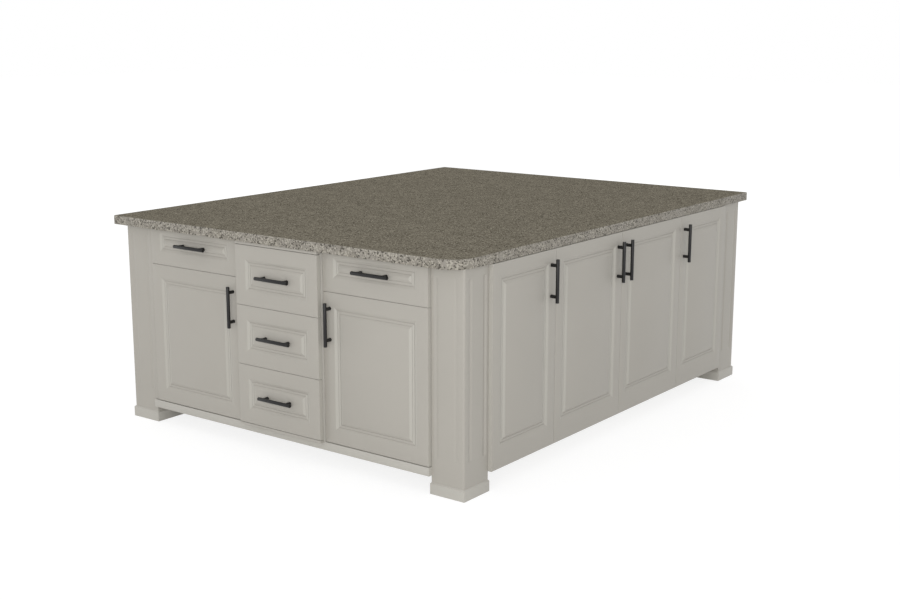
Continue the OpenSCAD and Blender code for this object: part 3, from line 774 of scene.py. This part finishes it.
def makeCarcass(node, facing):
    # the stack stands out from its neighbours, so its front edges and outer faces are painted, in
    # the lighter paint: painted light on these narrow faces
    place, (width, deep, height) = placeOn(facing, node)
    t, back = carcasses["board"] * mm, carcasses["back"] * mm
    stack = node == "carcass_stack"
    front = {"-y": 1}
    boxes = [((0, 0, 0), (t, deep, height), 0, {"-y": 1, "-x": 1} if stack else front),
             ((width - t, 0, 0), (width, deep, height), 0, {"-y": 1, "+x": 1} if stack else front),
             ((t, 0, 0), (width - t, deep, t), 0, front),
             ((t, 0, height - t), (width - t, deep, height), 0, front),
             ((t, deep - back, t), (width - t, deep, height - t), 0)]
    if node in ("carcass_left", "carcass_right"):
        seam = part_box("door_left")[1].z + carcasses["seam"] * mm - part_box(node)[0].z
        boxes.append(((t, 0, seam - t / 2), (width - t, deep - back, seam + t / 2), 0, front))
    boxPiece(node + "_boards", boxes, ["carcass", "base" if stack else "banding"],
             [node], 0.4, place)


for node, facing in carcasses["facing"].items():
    makeCarcass(node, facing)

shelfSizes = {"play": 0.5, "setback": 20.0, "pinInset": 21.0}


def shelfSpots():
    # cabinet, facing and height of each shelf's underside
    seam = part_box("door_left")[1].z + carcasses["seam"] * mm
    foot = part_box("carcass_left")[0].z
    spots = [(node, "front", (foot + seam) / 2) for node in ("carcass_left", "carcass_right")]
    for node, shares in (("carcass_near", (1 / 3, 2 / 3)), ("carcass_double", (0.5,)),
                         ("carcass_far", (0.5,))):
        low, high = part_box(node)
        spots += [(node, "side", low.z + (high.z - low.z) * share) for share in shares]
    return spots


def makeShelves():
    t, back = carcasses["board"] * mm, carcasses["back"] * mm
    play, setback, inset = (shelfSizes[key] * mm for key in ("play", "setback", "pinInset"))
    bm = bmesh.new()
    pinSpots = []
    for node, facing, z in shelfSpots():
        place, size = placeOn(facing, node)
        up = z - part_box(node)[0].z
        deep = size.y - back - play
        verts = addBox(bm, (t + play, setback, up), (size.x - t - play, deep, up + t), 0,
                       {"-y": 1})
        bmesh.ops.transform(bm, matrix=place, verts=verts)
        turn = place.to_3x3()
        for y in (setback + inset, deep - inset):
            pinSpots.append((place @ Vector((t, y, up)), turn @ Vector((1, 0, 0))))
            pinSpots.append((place @ Vector((size.x - t, y, up)), turn @ Vector((-1, 0, 0))))
    addPiece("shelf_boards", bm, ["carcass", "banding"], "island", ["shelves"],
             softEdge=0.5)
    return pinSpots


pinSpots = makeShelves()
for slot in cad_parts["core_boards"].material_slots:
    slot.material = paints["core"]
print("cabinets and shelves made")

drawerBoxes = {"side": 15.0, "bottom": 10.0, "finger": 12.0, "groove": 1.0, "rise": 0.5}


def combOutline(length, height, count, deep, keepEven):
    # a board's outline with fingers cut at both ends
    right, left = [], []
    for i in range(count):
        cut = 0.0 if (i % 2 == 0) == keepEven else deep
        levels = (height * i / count, height * (i + 1) / count)
        right += [(length - cut, z) for z in levels]
        left += [(cut, z) for z in levels]
    return right + left[::-1]


def makeDrawerBox(name):
    node = f"drawer_{name}_box"
    low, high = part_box(node)
    size = high - low
    t, bottom = drawerBoxes["side"] * mm, drawerBoxes["bottom"] * mm
    count = 2 * round(size.z / (drawerBoxes["finger"] * mm) / 2) + 1
    bm = bmesh.new()
    sideOutline = combOutline(size.y, size.z, count, t, True)
    endOutline = combOutline(size.x, size.z, count, t, False)
    for x in (low.x, high.x - t):
        addExtruded(bm, sideOutline, lambda u, v, w: (w, low.y + u, low.z + v), x, x + t, 1, 0)
    for y in (low.y, high.y - t):
        addExtruded(bm, endOutline, lambda u, v, w: (low.x + u, w, low.z + v), y, y + t, 3, 2)
    inset = t - drawerBoxes["groove"] * mm
    addBox(bm, (low.x + inset, low.y + inset, low.z + drawerBoxes["rise"] * mm),
           (high.x - inset, high.y - inset, low.z + bottom), 2)
    addPiece(node + "_joined", bm, ["birchY", "plyX", "birchX", "plyY"], f"drawer_{name}",
             [node], softEdge=0.35)


for name in fronts["drawers"]:
    makeDrawerBox(name)
print("drawer boxes made")

runners = {"room": 13.0, "fromFront": 5.5, "height": 46.0, "depth": 9.0, "sheet": 1.5, "lip": 6.0,
           "play": 0.3, "plate": 34.0, "length": 496.0, "screws": (35.0, 160.0, 290.0, 420.0)}


def runnerSpots(name):
    # for both sides: wall of the cabinet, direction towards the box, middle height, front
    low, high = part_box(f"drawer_{name}_box")
    z = (low.z + high.z) / 2
    y = low.y + runners["fromFront"] * mm
    room = runners["room"] * mm
    return [(low.x - room, 1, z, y), (high.x + room, -1, z, y)]


def makeRunners():
    r = runners
    half, deep, sheet = r["height"] / 2, r["depth"], r["sheet"]
    lip = half - r["lip"]
    channel = [(0, -half), (deep, -half), (deep, -lip), (deep - sheet, -lip),
               (deep - sheet, -half + sheet), (sheet, -half + sheet), (sheet, half - sheet),
               (deep - sheet, half - sheet), (deep - sheet, lip), (deep, lip), (deep, half),
               (0, half)]
    a = sheet + r["play"]
    inner = half - sheet - r["play"]
    web = inner / 3
    plateX = r["depth"] + r["play"]
    plate = r["plate"] / 2
    member = [(a, -inner), (a + sheet, -inner), (a + sheet, -web), (plateX, -web),
              (plateX, -plate), (r["room"], -plate), (r["room"], plate), (plateX, plate),
              (plateX, web), (a + sheet, web), (a + sheet, inner), (a, inner)]
    fixed = bmesh.new()
    for name in fronts["drawers"]:
        low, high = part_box(f"drawer_{name}_runners")
        moving = bmesh.new()
        for wall, way, z, y in runnerSpots(name):
            def put(u, v, w, wall=wall, way=way, z=z):
                return (wall + way * u * mm, w, z + v * mm)
            addExtruded(fixed, channel, put, y, y + r["length"] * mm)
            addExtruded(moving, member, put, low.y, high.y)
        addPiece(f"drawer_{name}_members", moving, ["zinc"], f"drawer_{name}",
                 [f"drawer_{name}_runners"], softEdge=0.25)
    addPiece("runner_channels_folded", fixed, ["zinc"], "island", ["runner_channels"],
             softEdge=0.3)


makeRunners()

hinges = {
    "cup": 17.3, "inner": 15.8, "depth": 12.3, "floor": 1.5, "cupEase": 1.2, "rimEase": 0.3,
    "flange": (24.0, 52.0, 1.2), "flangeFrom": 14.5, "flangeRadii": (4.0, 0.6), "cupScrew": 22.3,
    "block": ((-5.0, -9.5, -9.0), (4.0, -3.0, 9.0)), "air": 0.5, "arm": (7.5, 64.0, 15.0),
    "nose": (0.72, 8.0), "tail": (0.7, 6.0, 4.0), "armScrews": (20.0, 46.0),
    "plate": (3.0, 46.0, 52.0), "plateRadius": 5.0, "plateScrew": 20.0, "board": 18.0,
    "reveal": {"front": 1.0, "side": 0.75}, "steps": [4] * 4,
}


def addCup(bm, x, y, z):
    # a round cup with two wings on the door's back and a pivot block; gives its screws' places
    h = hinges
    r, inner, deep, floor = h["cup"], h["inner"], h["depth"], h["floor"]
    ease, rim = h["cupEase"], h["rimEase"]
    width, height, flange = h["flange"]
    profile = ((-deep, r - ease), (ease / 2 - deep, r - rim), (ease - deep, r), (flange - 0.2, r),
               (flange, r - 0.2), (flange, inner + rim), (flange - rim, inner),
               (floor + 1 - deep, inner), (floor - deep, inner - 1))
    addTurned(bm, [(along * mm, radius * mm) for along, radius in profile], (x, y, z), (0, 1, 0),
              steps=40)
    outer, near = (v * mm for v in h["flangeRadii"])
    screws = []
    for side in (-1, 1):
        z0, z1 = sorted((z + side * h["flangeFrom"] * mm, z + side * height * mm / 2))
        radii = [near, near, outer, outer] if side > 0 else [outer, outer, near, near]
        plan = roundedRect(x - width * mm / 2, x + width * mm / 2, z0, z1, radii,
                           h["steps"], 0)
        addLoft(bm, [[Vector((p.x, d, p.y)) for p in plan] for d in (y, y + flange * mm)])
        screws.append(Vector((x, y + flange * mm, z + side * h["cupScrew"] * mm)))
    addBox(bm, *([c + v * mm for c, v in zip((x, y, z), corner)] for corner in h["block"]))
    return screws


def addArm(bm, put):
    # the arm with its plate; gives its screws' places
    h = hinges
    width, length, height = h["arm"]
    thick, plateL, plateH = h["plate"]
    (nose, noseEnd), (tail, tailEnd, toe) = h["nose"], h["tail"]
    heel = length - plateL
    side = ((thick, 0), (thick + width * nose, 0), (thick + width, noseEnd),
            (thick + width, length - tailEnd), (thick + width * tail, length), (0, length),
            (0, heel + toe), (thick, heel))
    addLoft(bm, [[put(u, v, w) for u, v in side] for w in (-height / 2, height / 2)])
    plan = roundedRect(heel, length, -plateH / 2, plateH / 2, [h["plateRadius"]] * 4, h["steps"],
                       0)
    addLoft(bm, [[put(u, p.x, p.y) for p in plan] for u in (0, thick)])
    return ([put(thick + width, v, 0) for v in h["armScrews"]]
            + [put(thick, length - plateL / 2, w) for w in (-h["plateScrew"], h["plateScrew"])])


def makeHinges():
    # the arms stay on the cabinets, the cups turn with their doors
    h = hinges
    arms = bmesh.new()
    cupScrews, armScrews = {}, []
    for door, (facing, _, _, hinged) in fronts["doors"].items():
        place, size = placeOn(facing, door)
        turn = place.to_3x3()
        way = 1 if hinged == "left" else -1
        edge = 0.0 if hinged == "left" else size.x
        cups = bmesh.new()
        cupScrews[door] = []
        for x, z in hingeSpots(door):
            cupScrews[door] += [(place @ spot, turn @ Vector((0, 1, 0)))
                                for spot in addCup(cups, x, size.y, z)]

            def put(u, v, w):
                # u out from the cabinet's side, v in from the door, w up, in millimetres
                return place @ Vector((edge + way * (h["board"] - h["reveal"][facing] + u) * mm,
                                       size.y + (h["flange"][2] + h["air"] + v) * mm, z + w * mm))
            armScrews += [(spot, turn @ Vector((way, 0, 0))) for spot in addArm(arms, put)]
        addPiece(door + "_cups_pressed", cups, ["zinc"], door, [door + "_cups"],
                 softEdge=0.3, place=place)
    addPiece("hinge_arms_folded", arms, ["zinc"], "island", ["hinge_arms"], softEdge=0.8)
    return cupScrews, armScrews


cupScrews, armScrews = makeHinges()
print("runners and hinges made")


def newPointTree(name, sizes):
    tree = bpy.data.node_groups.new(name, "GeometryNodeTree")
    tree.interface.new_socket("Points", in_out="INPUT", socket_type="NodeSocketGeometry")
    for label, value in sizes.items():
        socket = tree.interface.new_socket(label, in_out="INPUT", socket_type="NodeSocketFloat")
        socket.default_value = value
    for label in ("First", "Second"):
        tree.interface.new_socket(label, in_out="INPUT", socket_type="NodeSocketMaterial")
    tree.interface.new_socket("Mesh", in_out="OUTPUT", socket_type="NodeSocketGeometry")
    return tree, tree.nodes.new("NodeGroupInput").outputs


def moved(tree, geometry, z):
    place = addNode(tree, "ShaderNodeCombineXYZ", {2: z})
    return addNode(tree, "GeometryNodeTransform",
                   {"Geometry": geometry, "Translation": place.outputs[0]}).outputs[0]


def marked(tree, geometry, value):
    # remembers which faces take the second material
    return addNode(tree, "GeometryNodeStoreNamedAttribute",
                   {"Geometry": geometry, "Name": "second", "Value": value},
                   data_type="BOOLEAN", domain="FACE").outputs[0]


def joined(tree, parts):
    join = addNode(tree, "GeometryNodeJoinGeometry")
    for part in parts:
        tree.links.new(part, join.inputs[0])
    return join.outputs[0]


def turned(tree, geometry, turn):
    return addNode(tree, "GeometryNodeTransform",
                   {"Geometry": geometry, "Rotation": (0, 0, turn)}).outputs[0]


def crossedBars(tree, size, count):
    # bars through the z axis, at even turns
    bars = [turned(tree, addNode(tree, "GeometryNodeMeshCube", {"Size": size}).outputs[0],
                   math.pi * i / count) for i in range(count)]
    return joined(tree, bars)


def addCone(tree, low, high, depth, steps):
    return addNode(tree, "GeometryNodeMeshCone", {
        "Vertices": steps, "Radius Bottom": low, "Radius Top": high, "Depth": depth}).outputs[0]


def addRod(tree, radius, depth, steps):
    return addNode(tree, "GeometryNodeMeshCylinder",
                   {"Vertices": steps, "Radius": radius, "Depth": depth}).outputs[0]


def finishTree(tree, given, shapes):
    # shapes: for each, its geometry and whether it takes the second material
    shape = joined(tree, [marked(tree, geometry, second) for geometry, second in shapes])
    turn = addNode(tree, "GeometryNodeInputNamedAttribute", {"Name": "turn"},
                   data_type="FLOAT_VECTOR")
    rotation = addNode(tree, "FunctionNodeEulerToRotation", {0: turn.outputs[0]})
    copies = addNode(tree, "GeometryNodeInstanceOnPoints", {
        "Points": given["Points"], "Instance": shape, "Rotation": rotation.outputs[0]})
    real = addNode(tree, "GeometryNodeRealizeInstances", {0: copies.outputs[0]})
    whole = addNode(tree, "GeometryNodeSetMaterial",
                    {"Geometry": real.outputs[0], "Material": given["First"]})
    mark = addNode(tree, "GeometryNodeInputNamedAttribute", {"Name": "second"},
                   data_type="BOOLEAN")
    some = addNode(tree, "GeometryNodeSetMaterial", {
        "Geometry": whole.outputs[0], "Selection": mark.outputs[0], "Material": given["Second"]})
    tree.links.new(some.outputs[0], tree.nodes.new("NodeGroupOutput").inputs[0])
    return tree


def screwTree():
    # flat cone head, its cross in near black: painted shade
    tree, given = newPointTree("screwHeads", {"Head Radius": 0.004, "Head Height": 0.0018})
    radius, height = given["Head Radius"], given["Head Height"]
    head = addCone(tree, radius, times(tree, radius, 0.7), height, 20)
    bar = addNode(tree, "ShaderNodeCombineXYZ", {
        0: radius, 1: times(tree, radius, 0.22), 2: times(tree, height, 0.2)})
    cross = moved(tree, crossedBars(tree, bar.outputs[0], 2), times(tree, height, 0.93))
    return finishTree(tree, given, [(head, False), (cross, True)])


def holeTree():
    # a thin near-black disc at a shelf pin's hole: painted shade
    tree, given = newPointTree("systemHoles", {"Radius": 0.0025})
    return finishTree(tree, given, [(addRod(tree, given["Radius"], 0.0001, 12), False)])


def pinTree():
    # shelf pin: a collar and a stub
    tree, given = newPointTree("shelfPins", {"Reach": 0.009, "Radius": 0.0024})
    radius, reach = given["Radius"], given["Reach"]
    collar = moved(tree, addRod(tree, radius, 0.002, 16), 0.001)
    stub = moved(tree, addRod(tree, times(tree, radius, 0.8), reach, 16), times(tree, reach, 0.5))
    return finishTree(tree, given, [(collar, False), (stub, False)])


def legTree():
    # adjustable cabinet leg: foot, threaded part, sleeve, ribs and plate, from the floor up
    tree, given = newPointTree("cabinetLegs", {"Height": 0.1, "Sleeve": 0.016})

    def wide(share):
        return times(tree, given["Sleeve"], share)

    def below(gap):
        return newMath(tree, "SUBTRACT", given["Height"], gap)

    foot = addCone(tree, wide(1.5), wide(1.25), 0.01, 32)
    thread = moved(tree, addRod(tree, wide(0.8), 0.03, 24), 0.02)
    sleeve = moved(tree, addCone(tree, wide(0.94), given["Sleeve"], below(0.028), 32), 0.025)
    ribs = moved(tree, crossedBars(tree, (0.042, 0.002, 0.012), 4), below(0.011))
    plate = moved(tree, addCone(tree, wide(1.6), wide(1.8), 0.005, 32), below(0.005))
    return finishTree(tree, given, [(foot, False), (thread, True), (sleeve, False), (ribs, False),
                                    (plate, False)])


def addRepeats(name, tree, spots, sizes, materials, body, stands=()):
    # one copy of the tree's shape at each spot, its z axis pointing along the spot's direction
    mesh = bpy.data.meshes.new(name)
    mesh.from_pydata([spot for spot, _ in spots], [], [])
    turns = mesh.attributes.new("turn", "FLOAT_VECTOR", "POINT")
    for i, (_, direction) in enumerate(spots):
        turns.data[i].vector = Vector(direction).to_track_quat("Z", "Y").to_euler()
    obj = bpy.data.objects.new(name, mesh)
    scene.collection.objects.link(obj)
    modifier = obj.modifiers.new("repeats", "NODES")
    modifier.node_group = tree
    first, second = (paints[key] for key in materials)
    values = {**sizes, "First": first, "Second": second}
    for item in tree.interface.items_tree:
        if item.item_type == "SOCKET" and item.in_out == "INPUT" and item.name in values:
            modifier[item.identifier] = values[item.name]
    settle(obj)
    shadeSmooth(obj)
    ridePiece(obj, body, stands)


screws = screwTree()
fittings = {
    "pullScrew": {"Head Radius": 0.0045, "Head Height": 0.002},
    "hingeScrew": {"Head Radius": 0.0036, "Head Height": 0.0012},
    "runnerScrew": {"Head Radius": 0.0035, "Head Height": 0.0002},
    "hole": {"Radius": 0.0025}, "pin": {"Reach": 0.009, "Radius": 0.0024}, "sleeve": 0.016,
    "holePitch": 32.0, "holeEdge": 37.0, "holeEnds": 96.0, "legEdge": 60.0, "legSetback": 220.0,
}


def addScrews(name, kind, spots, body):
    addRepeats(name, screws, spots, fittings[kind], ("zinc", "shadeAndThread"), body)


def pullScrewSpots(node, facing, upright, backNode, depth):
    # heads on the inner face behind a pull
    place, size = placeOn(facing, node)
    turn = place.to_3x3()
    axis = turn @ Vector((0, 0, 1) if upright else (1, 0, 0))
    inward = turn @ Vector((0, 1, 0))
    middle = place @ Vector((size.x / 2, 0, size.z / 2))
    shift = (placeOn(facing, backNode)[0].translation - middle).dot(inward) + depth
    return [(middle + inward * shift + axis * side * pulls["pitch"] * mm / 2, inward)
            for side in (-1, 1)]


def makeFittings():
    runnerScrews = []
    for name in fronts["drawers"]:
        spots = pullScrewSpots(f"drawer_{name}_pull", "front", False, f"drawer_{name}_box",
                               drawerBoxes["side"] * mm)
        addScrews(f"drawer_{name}_pull_screws", "pullScrew", spots, f"drawer_{name}")
        for wall, way, z, y in runnerSpots(name):
            face = wall + way * runners["sheet"] * mm
            runnerScrews += [(Vector((face, y + at * mm, z)), Vector((way, 0, 0)))
                             for at in runners["screws"]]
    for door, (facing, *_) in fronts["doors"].items():
        spots = pullScrewSpots(door + "_pull", facing, True, door, placeOn(facing, door)[1].y)
        addScrews(door + "_pull_screws", "pullScrew", spots, door)
        addScrews(door + "_cup_screws", "hingeScrew", cupScrews[door], door)
    addScrews("hinge_arm_screws", "hingeScrew", armScrews, "island")
    addScrews("runner_screws", "runnerScrew", runnerScrews, "island")
    drop = Vector((0, 0, fittings["pin"]["Radius"]))
    addRepeats("shelf_pins", pinTree(), [(spot - drop, way) for spot, way in pinSpots],
               fittings["pin"], ("zinc", "zinc"), "island")


def makeHoles():
    # two rows of shelf-pin holes on the inner faces of the cupboards' sides
    spots = []
    t, back = carcasses["board"] * mm, carcasses["back"] * mm
    pitch, edge, end = (fittings[key] * mm for key in ("holePitch", "holeEdge", "holeEnds"))
    for node, facing in carcasses["facing"].items():
        if node == "carcass_stack":
            continue
        place, size = placeOn(facing, node)
        turn = place.to_3x3()
        top = size.z - t
        if node in ("carcass_left", "carcass_right"):
            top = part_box("door_left")[1].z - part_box(node)[0].z - t
        for i in range(int((top - t - 2 * end) / pitch) + 1):
            z = t + end + i * pitch
            for y in (edge, size.y - back - edge):
                spots.append((place @ Vector((t, y, z)), turn @ Vector((1, 0, 0))))
                spots.append((place @ Vector((size.x - t, y, z)), turn @ Vector((-1, 0, 0))))
    # each hole is a near-black disc on the flat side: painted shade
    addRepeats("system_holes", holeTree(), spots, fittings["hole"], ("shadeAndThread", "shadeAndThread"),
               "island")


def makeLegs():
    # four under each cabinet but the shallow one, set back from the fronts
    tree = legTree()
    edge, setback = fittings["legEdge"] * mm, fittings["legSetback"] * mm
    face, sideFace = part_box("door_left")[0].y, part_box("door_far")[1].x
    sets = {"front": [], "side": []}
    for node, facing in carcasses["facing"].items():
        low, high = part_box(node)
        if facing == "front":
            sets[facing] += [(x, y) for x in (low.x + edge, high.x - edge)
                             for y in (face + setback, high.y - edge)]
        elif node != "carcass_near":
            sets[facing] += [(x, y) for y in (low.y + edge, high.y - edge)
                             for x in (sideFace - setback, low.x + edge)]
    for facing, node, stands in (("front", "carcass_left", ["cabinet_legs"]),
                                 ("side", "carcass_double", ())):
        spots = [(Vector((x, y, 0)), Vector((0, 0, 1))) for x, y in sets[facing]]
        sizes = {"Height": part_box(node)[0].z, "Sleeve": fittings["sleeve"]}
        addRepeats(facing + "_cabinet_legs", tree, spots, sizes, ("leg", "shadeAndThread"), "island",
                   stands)


makeFittings()
makeHoles()
makeLegs()
print("screws, pins, holes and legs made")

# Floor, light and camera
studio = {
    "floorColor": "f4f4f3", "floorDrift": "f2f2f1", "floorSize": 60.0, "floorGlow": 0.82,
    "floorShade": 0.28,
    "skyStrength": 0.69, "aim": (0.0, 0.0, 0.45),
    "lamps": {"keyLight": {"turn": 31.0, "rise": 10.0, "away": 9.0, "energy": 238.0,
                           "size": (6.0, 3.4), "glossy": True},
              "leftRim": {"turn": -80.0, "rise": 8.0, "away": 9.0, "energy": 80.0,
                          "size": (4.0, 3.0), "glossy": True},
              "backFill": {"turn": 215.0, "rise": 14.0, "away": 9.0, "energy": 110.0,
                           "size": (6.0, 3.4), "glossy": False}},
}


def seenDirectly(tree):
    rays = addNode(tree, "ShaderNodeLightPath").outputs
    return newMath(tree, "MAXIMUM", rays["Is Camera Ray"], newMath(
        tree, "MAXIMUM", rays["Is Glossy Ray"], rays["Is Transmission Ray"]))


def makeFloor():
    # pale paper for the light it throws back; as seen, white with the object's shadow
    half = studio["floorSize"] / 2
    mesh = bpy.data.meshes.new("floor")
    mesh.from_pydata([(-half, -half, 0), (half, -half, 0), (half, half, 0), (-half, half, 0)],
                     [], [(0, 1, 2, 3)])
    material, tree, place = newMaterial("paleFloor", Roughness=0.9, Specular_IOR_Level=0.0)
    shader = tree.nodes["Principled BSDF"]
    paper = useGroup(tree, "mottle", Vector=place, Color=linear(studio["floorColor"]),
                     Shade=linear(studio["floorDrift"]), Drift=0.4, Drift_Scale=0.4,
                     Grain_Scale=200.0)
    tree.links.new(paper["Color"], shader.inputs["Base Color"])
    shade = studio["floorShade"]
    dim = addNode(tree, "ShaderNodeBsdfDiffuse", {"Color": (shade, shade, shade, 1)})
    glow = addNode(tree, "ShaderNodeEmission", {"Strength": studio["floorGlow"]})
    white = addNode(tree, "ShaderNodeAddShader", {0: dim.outputs[0], 1: glow.outputs[0]})
    mix = addNode(tree, "ShaderNodeMixShader", {0: seenDirectly(tree), 1: shader.outputs[0],
                                                2: white.outputs[0]})
    tree.links.new(mix.outputs[0], tree.nodes["Material Output"].inputs["Surface"])
    mesh.materials.append(material)
    floor = bpy.data.objects.new("floor", mesh)
    scene.collection.objects.link(floor)
    floor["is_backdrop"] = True


def makeSky():
    world = bpy.data.worlds.new("studioSky")
    scene.world = world
    world.use_nodes = True
    tree = world.node_tree
    tree.nodes.clear()
    lighting = addNode(tree, "ShaderNodeBackground", {0: (1, 1, 1, 1), 1: studio["skyStrength"]})
    white = addNode(tree, "ShaderNodeBackground", {0: (1, 1, 1, 1), 1: 1.0})
    mix = addNode(tree, "ShaderNodeMixShader", {0: seenDirectly(tree), 1: lighting.outputs[0],
                                                2: white.outputs[0]})
    addNode(tree, "ShaderNodeOutputWorld", {0: mix.outputs[0]})


def makeLamp(name, lamp):
    # turn is counted from the front side towards the door side
    data = bpy.data.lights.new(name, "AREA")
    data.energy = lamp["energy"]
    data.shape = "RECTANGLE"
    data.size, data.size_y = lamp["size"]
    turn, rise = math.radians(lamp["turn"]), math.radians(lamp["rise"])
    flat = math.cos(rise)
    way = Vector((math.sin(turn) * flat, -math.cos(turn) * flat, math.sin(rise)))
    obj = bpy.data.objects.new(name, data)
    obj.location = Vector(studio["aim"]) + way * lamp["away"]
    obj.rotation_euler = (-way).to_track_quat("-Z", "Y").to_euler()
    obj.visible_glossy = lamp["glossy"]
    scene.collection.objects.link(obj)


camera = {"place": (3.6700, -4.8806, 1.7580), "azimuth": 37.0, "elevation": 12.0, "lens": 53.41,
          "sensor": 36.0}


def makeCamera():
    data = bpy.data.cameras.new("camera")
    data.lens = camera["lens"]
    data.sensor_width = camera["sensor"]
    data.sensor_fit = "HORIZONTAL"
    data.clip_end = 200.0
    obj = bpy.data.objects.new("camera", data)
    obj.location = camera["place"]
    obj.rotation_euler = (math.radians(90 - camera["elevation"]), 0,
                          math.radians(camera["azimuth"]))
    scene.collection.objects.link(obj)
    scene.camera = obj


makeFloor()
makeSky()
for name, lamp in studio["lamps"].items():
    makeLamp(name, lamp)
makeCamera()
scene.view_settings.view_transform = "Standard"
print("floor, light and camera made")

low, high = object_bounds()
